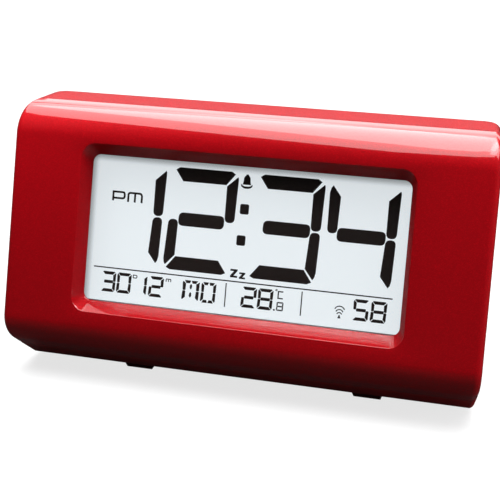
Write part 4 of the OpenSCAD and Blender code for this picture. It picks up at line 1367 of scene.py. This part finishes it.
@dataclass(frozen=True)
class Display:
    """Lens, the two glasses of the cell, and the lit strokes as thin dark prisms between them."""

    lens_w: float = 97.3
    lens_h: float = 46.9
    lens_r: float = 0.4
    lens_depth: float = 4.6
    glass_depth: float = 5.8
    film_depth: float = 6.9
    film_t: float = 0.1
    rear_depth: float = 7.0
    rear_far: float = 8.1
    ledge: float = 2.1
    chamfer: float = 0.15
    gap: float = 0.02
    weld: float = 1e-7
    time_y: float = 4.67
    small_y: float = -15.45

    def time_row(self) -> list[Array]:
        """Large figures, the colon between them and the afternoon sign.

        Returns:
            Outlines on the face.
        """
        row = (("1", -34.8), ("2", -13.4), ("3", 11.6), ("4", 32.8))
        marks = [s for sign, x in row for s in BIG.figure(sign, x, self.time_y)]
        for x, y in ((-0.79, 9.13), (-1.08, 0.29)):
            marks.append(np.array([x, y]) + box_ring(2.6, 2.9, 0.5))
        x, y, t = -40.4, 8.2, 0.58
        bowl = rounded_polygon([(0, 2.5, 0), (3.5, 2.5, 0.7), (3.5, 0.72, 0.7), (0, 0.72, 0)])
        marks.append(band(np.concatenate([[[0, -0.1]], bowl]) + [x, y], t))
        hood = rounded_polygon([(0, -0.15, 0), (0, 2.5, 0.7), (4.15, 2.5, 0.9), (4.15, -0.15, 0)])
        marks.append(band(hood + [x + 4.65, y], t))
        marks.append(band([(x + 6.7, y - 0.15), (x + 6.7, y + 2.5)], t))
        return marks

    def signs(self) -> list[Array]:
        """Bell, doze sign, radio sign and the ruled lines.

        Returns:
            Outlines on the face.
        """
        x, y = -0.68, 15.4
        dome = np.array([
            (1.3, 0.6), (1.1, 1.0), (1.0, 1.6), (0.95, 2.4), (0.75, 2.9), (0.4, 3.15), (0.34, 3.5),
        ])
        lip = np.array([
            (0.5, 0.14), (1.15, 0.3), (1.68, 0.8), (1.64, 0.1), (1.0, -0.35), (0.4, -0.5),
        ])
        marks = [np.concatenate([half, half[::-1] * [-1, 1]]) + [x, y] for half in (dome, lip)]
        for zx, zy, w, h, t in ((-3.42, -10.33, 2.1, 2.4, 0.56), (-0.75, -10.5, 1.75, 1.85, 0.5)):
            low, high = zy + t / 2, zy + h - t / 2
            marks.append(band([(zx, high), (zx + w, high)], t))
            marks.append(band([(zx, low), (zx + w, low)], t))
            marks.append(band([(zx + 0.35, low), (zx + w - 0.35, high)], t * 1.35))
        x = 28.8
        for top, r in ((-14.97, 1.5), (-15.9, 1.1), (-16.75, 0.75)):
            marks.append(band(arc_path(x, top - r, r, 24, 156), 0.3))
        mast = np.array([(-0.45, -18.35), (0.45, -18.35), (0.12, -17.4), (-0.12, -17.4)])
        marks.append(mast + [x, 0])
        marks.append(band([(-44.8, -11.42), (43.2, -11.42)], 0.36))
        marks += [band([(u, -12.1), (u, -18.9)], 0.32) for u in (-4.33, 17.83)]
        return marks

    def small_row(self) -> list[Array]:
        """Date, day of the week, temperature and seconds below the rule, with their small signs.

        Returns:
            Outlines on the face.
        """
        y = self.small_y
        row = (
            ("3", -39.95), ("0", -35.15), ("1", -30.3), ("2", -25.25),
            ("2", 2.55), ("8", 7.35), ("5", 34.7), ("8", 39.65),
        )
        marks = [s for sign, x in row for s in SMALL.figure(sign, x, y)]
        shapes = SMALL.shapes()
        sides = [shapes[k] for k in "bcef"]
        half = np.array([(0.07, 2.94), (1.72, 2.94), (1.28, 2.1), (0.36, 2.1)])
        halves = [half * [k, 1] for k in (-1, 1)]
        tick = np.array([(0, 2.0), (0.36, 1.5), (0.3, 0.75), (0, 0.35), (-0.3, 0.75), (-0.36, 1.5)])
        wide = np.array([1.15, 1])
        for shape in [s * wide for s in sides + halves] + [tick, tick * [1, -1]]:
            marks.append(SMALL.leaning(shape, -14.75, y))
        for shape in sides + halves + [h * [1, -1] for h in halves]:
            marks.append(SMALL.leaning(shape, -9.45, y))
        marks += TINY.figure("8", 11.75, -17.0)
        marks.append(np.array([10.15, -18.1]) + box_ring(0.5, 0.5, 0.12))
        bracket = [(12.45, -12.85), (11.05, -12.85), (11.05, -14.75), (12.45, -14.75)]
        marks.append(band(bracket, 0.36))
        marks.append(band(arc_path(10.45, -12.5, 0.22, 0, 345), 0.2))
        d = rounded_polygon([(0, 0, 0), (0, 0.8, 0), (1.15, 0.8, 0.35), (1.15, 0, 0.35)])
        marks.append(band(np.concatenate([d, d[:1]]) + [-32.4, -13.6], 0.26))
        m = rounded_polygon([(0, 0, 0), (0, 0.8, 0.15), (1.4, 0.8, 0.25), (1.4, 0, 0)])
        marks.append(band(m + [-22.3, -13.65], 0.26))
        marks.append(band([(-21.6, -13.65), (-21.6, -12.85)], 0.26))
        return marks

    def sheet(
        self, name: str, node: str, slot: str, high: float, rise: float, near: float, far: float
    ) -> bpy.types.Object:
        """Makes one clear sheet with fine chamfers, which casts no shadow on what lies behind.

        Args:
            name: Name of the piece.
            node: CAD node that it stands for.
            slot: Material slot of the record.
            high: Height of the sheet.
            rise: Height of its middle above the window centre.
            near: Depth of its front.
            far: Depth of its back.

        Returns:
            The dressed sheet.
        """
        c = self.chamfer
        full = box_ring(self.lens_w, high, self.lens_r)
        cut = box_ring(self.lens_w - 2 * c, high - 2 * c, self.lens_r)
        near, far = near + self.gap, far - self.gap
        rings = at_depths([cut, full, full, cut], [near, near + c, far - c, far])
        parts = MeshParts()
        parts.add_loft(CASE.from_face(rings + np.array([0, rise, 0])))
        piece = dress(parts.to_object(name), slot, "case", node)
        piece.visible_shadow = False
        return piece

    def build_sheets(self) -> None:
        """Makes the lens and the two glasses of the cell."""
        full, low = (self.lens_h, 0), (self.lens_h - self.ledge, self.ledge / 2)
        lens, front = (self.lens_depth, self.glass_depth), (self.glass_depth, self.film_depth)
        rear = (self.rear_depth, self.rear_far)
        self.sheet("lens_sheet", "lens", "clear_lens", *full, *lens)
        self.sheet("front_glass", "lcd_front_glass", "lcd_glass", *full, *front)
        self.sheet("rear_glass", "lcd_rear_glass", "lcd_glass", *low, *rear)

    def build(self) -> bpy.types.Object:
        """Makes the sheets, and every lit stroke as a thin prism between the two glasses.

        Returns:
            The dressed strokes.
        """
        self.build_sheets()
        parts = MeshParts()
        depths = (self.film_depth + self.gap, self.film_depth + self.film_t - self.gap)
        for outline in self.time_row() + self.signs() + self.small_row():
            parts.add_loft(CASE.from_face(at_depths([outline, outline], depths)))
        piece = parts.to_object("lit_strokes", weld=self.weld)
        dress(piece, "lcd_ink", "case", "lcd_segments")
        piece.visible_shadow = False
        return piece


# Springs


@dataclass(frozen=True)
class Springs:
    """Wound springs: two under the top bar and two conical ones in the battery bay."""

    bar_x: float = 36.0
    bar_y: float = 26.44
    bar_base: float = 21.17
    bar_len: float = 7.6
    bar_r: float = 2.3
    bar_wire: float = 0.6
    bar_turns: float = 7.5
    bar_dead: float = 1.2
    bar_press: float = 1.0
    bay_y: float = 20.5
    cell_pitch: float = 11.4
    cell_depth: float = 7.55
    bay_len: float = 52.0
    contact_t: float = 0.4
    cell_len: float = 6.4
    cell_wire: float = 0.7
    cell_foot_r: float = 4.1
    cell_tip_r: float = 2.9
    cell_turns: float = 5.5
    cell_dead: float = 0.9
    sharp: float = 60.0

    def build_bar(self) -> bpy.types.Object:
        """Makes the springs of the top bar.

        Returns:
            The dressed pair.
        """
        parts = MeshParts()
        rings = coil_rings(
            self.bar_len, self.bar_r, self.bar_r, self.bar_wire, self.bar_turns, self.bar_dead
        )
        for side in (-1, 1):
            place = np.array([side * self.bar_x, self.bar_y, self.bar_base])
            parts.add_loft(CASE.from_case(rings + place))
        piece = parts.to_object("bar_coil_pair", sharp=self.sharp)
        dress(piece, "plated_metal", "case", "bar_springs")
        foot = tuple(CASE.from_case(np.array([0, self.bar_y, self.bar_base])))
        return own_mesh(piece)

    def build_bay(self) -> bpy.types.Object:
        """Makes the conical springs that press on the cells.

        Returns:
            The dressed pair.
        """
        parts = MeshParts()
        rings = coil_rings(
            self.cell_len, self.cell_foot_r, self.cell_tip_r, self.cell_wire, self.cell_turns,
            self.cell_dead,
        )
        along = self.bay_len / 2 - self.contact_t - rings[..., 2]
        deep = self.cell_depth + rings[..., 1]
        for side in (-1, 1):
            up = self.bay_y - side * self.cell_pitch / 2 + rings[..., 0]
            parts.add_loft(CASE.from_back(np.stack([side * along, up, deep], axis=-1)))
        piece = parts.to_object("cell_coil_pair", sharp=self.sharp)
        return dress(piece, "plated_metal", "case", "battery_springs")


# Cells


@dataclass(frozen=True)
class Cells:
    """Two small round cells, each a sleeve with metal ends, side by side and turned about."""

    bay_y: float = 20.5
    pitch: float = 11.4
    depth: float = 7.55
    start: float = -25.5
    radius: float = 5.25
    length: float = 44.5
    nub_r: float = 1.9
    nub_h: float = 0.95

    NODES = {"lower_cell": 1, "upper_cell": -1}

    def placed(self, profile: Sequence[Sequence[float]], side: int) -> Array:
        """A profile of (along, radius) turned about the axis of one cell and put in the bay.

        Args:
            profile: Places along the cell from its nub, with their radii.
            side: 1 for the lower cell, whose nub lies at the left, and -1 for the upper one.

        Returns:
            (n, points, 3) array of world points.
        """
        rings = turned(np.asarray(profile, float))
        along = side * (self.start + rings[..., 0])
        up = self.bay_y - side * self.pitch / 2 + rings[..., 1]
        return CASE.from_back(np.stack([along, up, self.depth + rings[..., 2]], axis=-1))

    def build(self) -> list[bpy.types.Object]:
        """Makes both sleeves, and the metal ends as one piece.

        Returns:
            The dressed sleeves and the ends.
        """
        r, end, nub_r, step = self.radius, self.length, self.nub_r, self.nub_h
        sleeve = [
            (step + 0.05, r - 1.1), (step + 0.1, r - 0.6), (step + 0.3, r - 0.2), (step + 0.7, r),
            (end - 0.6, r), (end - 0.3, r - 0.12), (end - 0.12, r - 0.4), (end - 0.1, r - 0.9),
        ]
        nub = [
            (0.0, nub_r - 0.4), (0.08, nub_r - 0.12), (0.25, nub_r), (step - 0.03, nub_r),
            (step, nub_r + 0.4), (step, r - 1.2), (step + 0.2, r - 1.2),
        ]
        foot = [(end - 0.3, r - 1.0), (end - 0.04, r - 1.0), (end, r - 1.3)]
        metal, pieces = MeshParts(), []
        for node, side in self.NODES.items():
            wrap = MeshParts()
            wrap.add_loft(self.placed(sleeve, side))
            pieces.append(dress(wrap.to_object(node + "_sleeve"), "cell_wrap", "case", node))
            metal.add_loft(self.placed(nub, side))
            metal.add_loft(self.placed(foot, side))
        pieces.append(dress(metal.to_object("cell_ends"), "plated_metal", "case"))
        return pieces


# Rear pieces


@dataclass(frozen=True)
class RearPieces:
    """The rear keys, and softened copies of the rear shell, the door and the slider."""

    key_pitch: float = 16.0
    key_row: float = 49.0
    key_w: float = 11.0
    key_h: float = 5.4
    key_proud: float = 1.0
    key_edge: float = 0.5
    key_edge_steps: int = 5
    key_crown: float = 0.12
    key_sharp: float = 40.0
    flange_near: float = 2.1
    flange_far: float = 3.3
    flange_out: float = 1.3
    stem_far: float = 4.2
    stem_d: float = 3.4
    copy_sharp: float = 28.0
    copy_weld: float = 1e-6
    flat_angle: float = math.radians(0.3)
    bevel_angle: float = math.radians(40)
    bevel_steps: int = 2

    KEYS = ("mode_key", "alarm_key", "up_key", "down_key", "wave_key")
    CROWN = ((1.1, 0.06), (1.9, 0.015), (2.55, 0.0))  # how far the crown's rings lie in and down
    COPIES = (
        ("rear_shell", "rear_case", "red_satin", "case", 0.3),
        ("battery_door", "cell_door", "red_satin", "door", 0.25),
        ("alarm_slider", "slider_grip", "key_black", "slider", 0.2),
    )

    def key(self, k: int) -> bpy.types.Object:
        """Makes one rear key: a pill with a round edge, a crowned top, its flange and stem.

        The edge follows draw = r (1 - cos a) and drop = r (1 - sin a).

        Args:
            k: Number of the key along the row.

        Returns:
            The dressed key.
        """
        a = np.linspace(0, math.pi / 2, self.key_edge_steps + 1)
        draws = [*(self.key_edge * (1 - np.cos(a))), *(draw for draw, _ in self.CROWN)]
        cap = [pill_ring(self.key_w - 2 * d, self.key_h - 2 * d) for d in draws]
        wide = self.flange_out * 2
        flange = pill_ring(self.key_w + wide, self.key_h + wide)
        stem = round_ring(self.stem_d)
        rings = [stem, stem, flange, flange, cap[0], *cap]
        near, far = self.flange_near, self.flange_far
        tops = -self.key_proud + self.key_crown + self.key_edge * (1 - np.sin(a))
        dish = [-self.key_proud + drop for _, drop in self.CROWN]
        depths = [self.stem_far, far, far, near, near, *tops, *dish]
        place = np.array([(k - 2) * self.key_pitch, self.key_row, 0])
        parts = MeshParts()
        parts.add_loft(CASE.from_back(at_depths(rings, depths) + place))
        name = self.KEYS[k]
        piece = parts.to_object(name + "_cap", sharp=self.key_sharp)
        return dress(piece, "key_black", name, name)

    def softened(
        self, node: str, name: str, slot: str, body: str, bevel: float
    ) -> bpy.types.Object:
        """Copies a CAD node's mesh, merges it, shades it smooth and softens its edges.

        Args:
            node: CAD node to copy.
            name: Name of the piece.
            slot: Material slot of the record.
            body: Body that it rides on.
            bevel: Width of the softened edges in millimetres.

        Returns:
            The dressed copy.
        """
        mesh = frame["nodes"][node].data.copy()
        bm = bmesh.new()
        bm.from_mesh(mesh)
        bmesh.ops.remove_doubles(bm, verts=bm.verts, dist=self.copy_weld)
        bmesh.ops.dissolve_limit(bm, angle_limit=self.flat_angle, verts=bm.verts, edges=bm.edges)
        bm.to_mesh(mesh)
        bm.free()
        if "custom_normal" in mesh.attributes:
            mesh.attributes.remove(mesh.attributes["custom_normal"])
        piece = finish_mesh(mesh, name, self.copy_sharp, self.copy_weld)
        soft = piece.modifiers.new("soft_edges", "BEVEL")
        soft.width = bevel * MM
        soft.segments = self.bevel_steps
        soft.limit_method = "ANGLE"
        soft.angle_limit = self.bevel_angle
        soft.harden_normals = True
        return dress(piece, slot, body, node)

    def build(self) -> list[bpy.types.Object]:
        """Makes the keys and the softened copies, and gives them in that order."""
        pieces = [self.key(k) for k in range(len(self.KEYS))]
        return pieces + [self.softened(*copy) for copy in self.COPIES]


# Stage, light and camera


@dataclass(frozen=True)
class Lamp:
    """A soft rectangular lamp: its place and size in metres, and the brightness of its face.

    It faces the clock, or is turned from facing down by angles in degrees about x, y and z.
    Glossy surfaces show it only where it is mirrored.
    """

    name: str
    place: tuple[float, float, float]
    size: tuple[float, float]
    level: float
    turn: tuple[float, float, float] | None = None
    mirrored: bool = True

    WATTS = 4.0  # power of a square metre at level 1
    AIM = (0, 0, 0.045)  # place on the clock that lamps face

    def build(self) -> None:
        """Makes the lamp; its power is its level times its area times the power at level 1."""
        data = bpy.data.lights.new(self.name, "AREA")
        data.shape = "RECTANGLE"
        data.size, data.size_y = self.size
        data.energy = self.level * self.size[0] * self.size[1] * self.WATTS
        lamp = bpy.data.objects.new(self.name, data)
        lamp.location = self.place
        if self.turn is None:
            aim = Vector(self.AIM) - Vector(self.place)
            lamp.rotation_euler = aim.to_track_quat("-Z", "Y").to_euler()
        else:
            lamp.rotation_euler = np.radians(self.turn)
        lamp.visible_glossy = self.mirrored
        bpy.context.scene.collection.objects.link(lamp)
        log.info("lamp %s: level %.1f", self.name, self.level)


LAMPS = (
    Lamp("overhead_softbox", (-0.11, 0.168, 0.47), (0.5, 0.8), 3.0, turn=(0, 0, 40)),
    Lamp("overhead_core", (0.001, 0.207, 0.46), (0.42, 0.5), 2.9, turn=(0, 0, 40)),
    Lamp("rear_softbox", (-0.5, 1.7, 0.93), (2.6, 0.76), 1.9, turn=(-90, 0, 0)),
    Lamp("right_softbox", (0.30, 0.03, 0.50), (0.5, 0.4), 3.6, turn=(0, 0, 0)),
    Lamp("right_card", (0.5, -0.15, 0.16), (0.3, 0.3), 0.8, mirrored=False),
    Lamp("side_card", (0.45, 0.0, 0.10), (0.25, 0.25), 3.0, mirrored=False),
    Lamp("left_fill", (-0.10, -0.035, 0.145), (0.07, 0.07), 5.6, mirrored=False),
    Lamp("right_fill", (0.10, -0.035, 0.145), (0.07, 0.07), 2.2, mirrored=False),
)


def grey(level: float) -> tuple[float, float, float, float]:
    """Opaque grey of one level."""
    return level, level, level, 1.0


@dataclass(frozen=True)
class Studio:
    """Pale floor, soft lamps, white surround and the camera."""

    focal_px: float = 1300.0
    image_px: float = 500.0
    sensor: float = 36.0
    aim_u: float = 3.77
    aim_v: float = -1.56
    reach: float = 357.4
    yaw: float = math.radians(15.80)
    pitch: float = math.radians(4.25)
    roll: float = math.radians(4.76)
    clip: tuple[float, float] = (0.01, 20.0)
    room: Colour = (0.028, 0.028, 0.029)
    surround_mirrored: float = 0.1
    behind_from: float = -0.15
    behind_to: float = 0.35
    floor_half: float = 3.0
    floor_marks: int = 9
    floor_mirrored: float = 0.015
    floor_glow: float = 0.75
    floor_dark: float = 0.014
    floor_bounce: float = 0.075
    floor_pale: float = 0.86

    def camera(self) -> None:
        """Makes the camera: it looks at the face from the right and slightly above its normal."""
        up = Vector((0, *CASE.face_up))
        into = Vector((0, *CASE.face_in))
        right = Vector((1, 0, 0))
        level = -math.sin(self.yaw) * right + math.cos(self.yaw) * into
        across = math.cos(self.yaw) * right + math.sin(self.yaw) * into
        above = math.cos(self.pitch) * up + math.sin(self.pitch) * level
        ahead = math.cos(self.pitch) * level - math.sin(self.pitch) * up
        aim = Vector(CASE.from_face(np.array([self.aim_u, self.aim_v, 0.0])))
        cam_x = math.cos(self.roll) * across + math.sin(self.roll) * above
        cam_y = math.cos(self.roll) * above - math.sin(self.roll) * across
        data = bpy.data.cameras.new("photo_camera")
        data.sensor_width = self.sensor
        data.lens = self.sensor * self.focal_px / self.image_px
        data.clip_start, data.clip_end = self.clip
        camera = bpy.data.objects.new("photo_camera", data)
        turn = Matrix((cam_x, cam_y, -ahead)).transposed().to_4x4()
        camera.matrix_world = Matrix.Translation(aim - ahead * self.reach * MM) @ turn
        bpy.context.scene.collection.objects.link(camera)
        bpy.context.scene.camera = camera

    def world(self) -> None:
        """Lights the room softly, and shows a white surround behind the clock."""
        world = bpy.data.worlds.new("studio_room")
        bpy.context.scene.world = world
        g = fresh_graph(world)
        path = g.add("ShaderNodeLightPath").outputs
        place = g.add("ShaderNodeTexCoord")
        split = g.add("ShaderNodeSeparateXYZ")
        g.join(place.outputs["Generated"], split.inputs[0])
        limits = {"From Min": self.behind_from, "From Max": self.behind_to}
        behind = g.add("ShaderNodeMapRange", limits, clamp=True)
        g.join(split.outputs["Y"], behind.inputs["Value"])
        mirrored = g.maths("MULTIPLY", path["Is Glossy Ray"], self.surround_mirrored)
        ways = g.maths("ADD", mirrored, path["Is Transmission Ray"])
        seen = g.maths("MULTIPLY", ways, behind.outputs[0])
        white = g.maths("MINIMUM", g.maths("ADD", path["Is Camera Ray"], seen), 1.0)
        room = g.add("ShaderNodeBackground", {"Color": (*self.room, 1.0), "Strength": 1.0})
        surround = g.add("ShaderNodeBackground", {"Color": grey(1.0), "Strength": 1.0})
        g.join(g.mixed(white, room, surround), g.add("ShaderNodeOutputWorld").inputs[0])

    def floor(self) -> None:
        """Makes the floor, pale to the camera and dark in reflections, with the clock's shadow."""
        parts = MeshParts()
        span = np.linspace(-self.floor_half, self.floor_half, self.floor_marks)
        x, y = np.meshgrid(span, span)
        parts.add_grid(np.stack([x, y, np.zeros_like(x)], axis=-1))
        floor = parts.to_object("pale_floor")
        made = bpy.data.materials.new("pale_floor")
        g = fresh_graph(made)
        path = g.add("ShaderNodeLightPath").outputs
        levels = {6: grey(self.floor_dark), 7: grey(self.floor_bounce)}
        bounced = g.add("ShaderNodeMix", levels, data_type="RGBA")
        g.join(path["Is Diffuse Ray"], bounced.inputs[0])
        pale = g.add("ShaderNodeMix", {7: grey(self.floor_pale)}, data_type="RGBA")
        g.join(path["Is Camera Ray"], pale.inputs[0])
        g.join(bounced.outputs[2], pale.inputs[6])
        matt = g.add("ShaderNodeBsdfDiffuse")
        g.join(pale.outputs[2], matt.inputs["Color"])
        glow = g.add("ShaderNodeEmission", {"Color": grey(1.0), "Strength": 1.0})
        mirrored = g.maths("MULTIPLY", path["Is Glossy Ray"], self.floor_mirrored)
        ways = g.maths("ADD", path["Is Camera Ray"], path["Is Transmission Ray"])
        share = g.maths("MULTIPLY", g.maths("ADD", ways, mirrored), self.floor_glow)
        g.join(g.mixed(share, matt, glow), g.add("ShaderNodeOutputMaterial").inputs[0])
        floor.data.materials.append(made)

    def build(self) -> None:
        """Sets up camera, lamps, surround and floor."""
        bpy.context.scene.view_settings.view_transform = "Standard"
        self.camera()
        for lamp in LAMPS:
            lamp.build()
        self.world()
        self.floor()


def carry_over() -> None:
    """Gives every CAD node the finish of its slot."""
    for part in frame["record"]["subparts"]:
        node = frame["nodes"][part["node"]]
        node.data.materials.clear()
        node.data.materials.append(FINISHES[part["material_slot"]].material())
        log.info("CAD node %s: %s", node.name, part["material_slot"])


def main() -> None:
    """Builds the studio and the clock's pieces in order."""
    logging.basicConfig(level=logging.INFO, format="%(name)s: %(message)s")
    Studio().build()
    FrontShell().build()
    TopBar().build()
    Display().build()
    springs = Springs()
    springs.build_bar()
    springs.build_bay()
    Cells().build()
    RearPieces().build()
    carry_over()


if __name__ == "__main__":
    main()
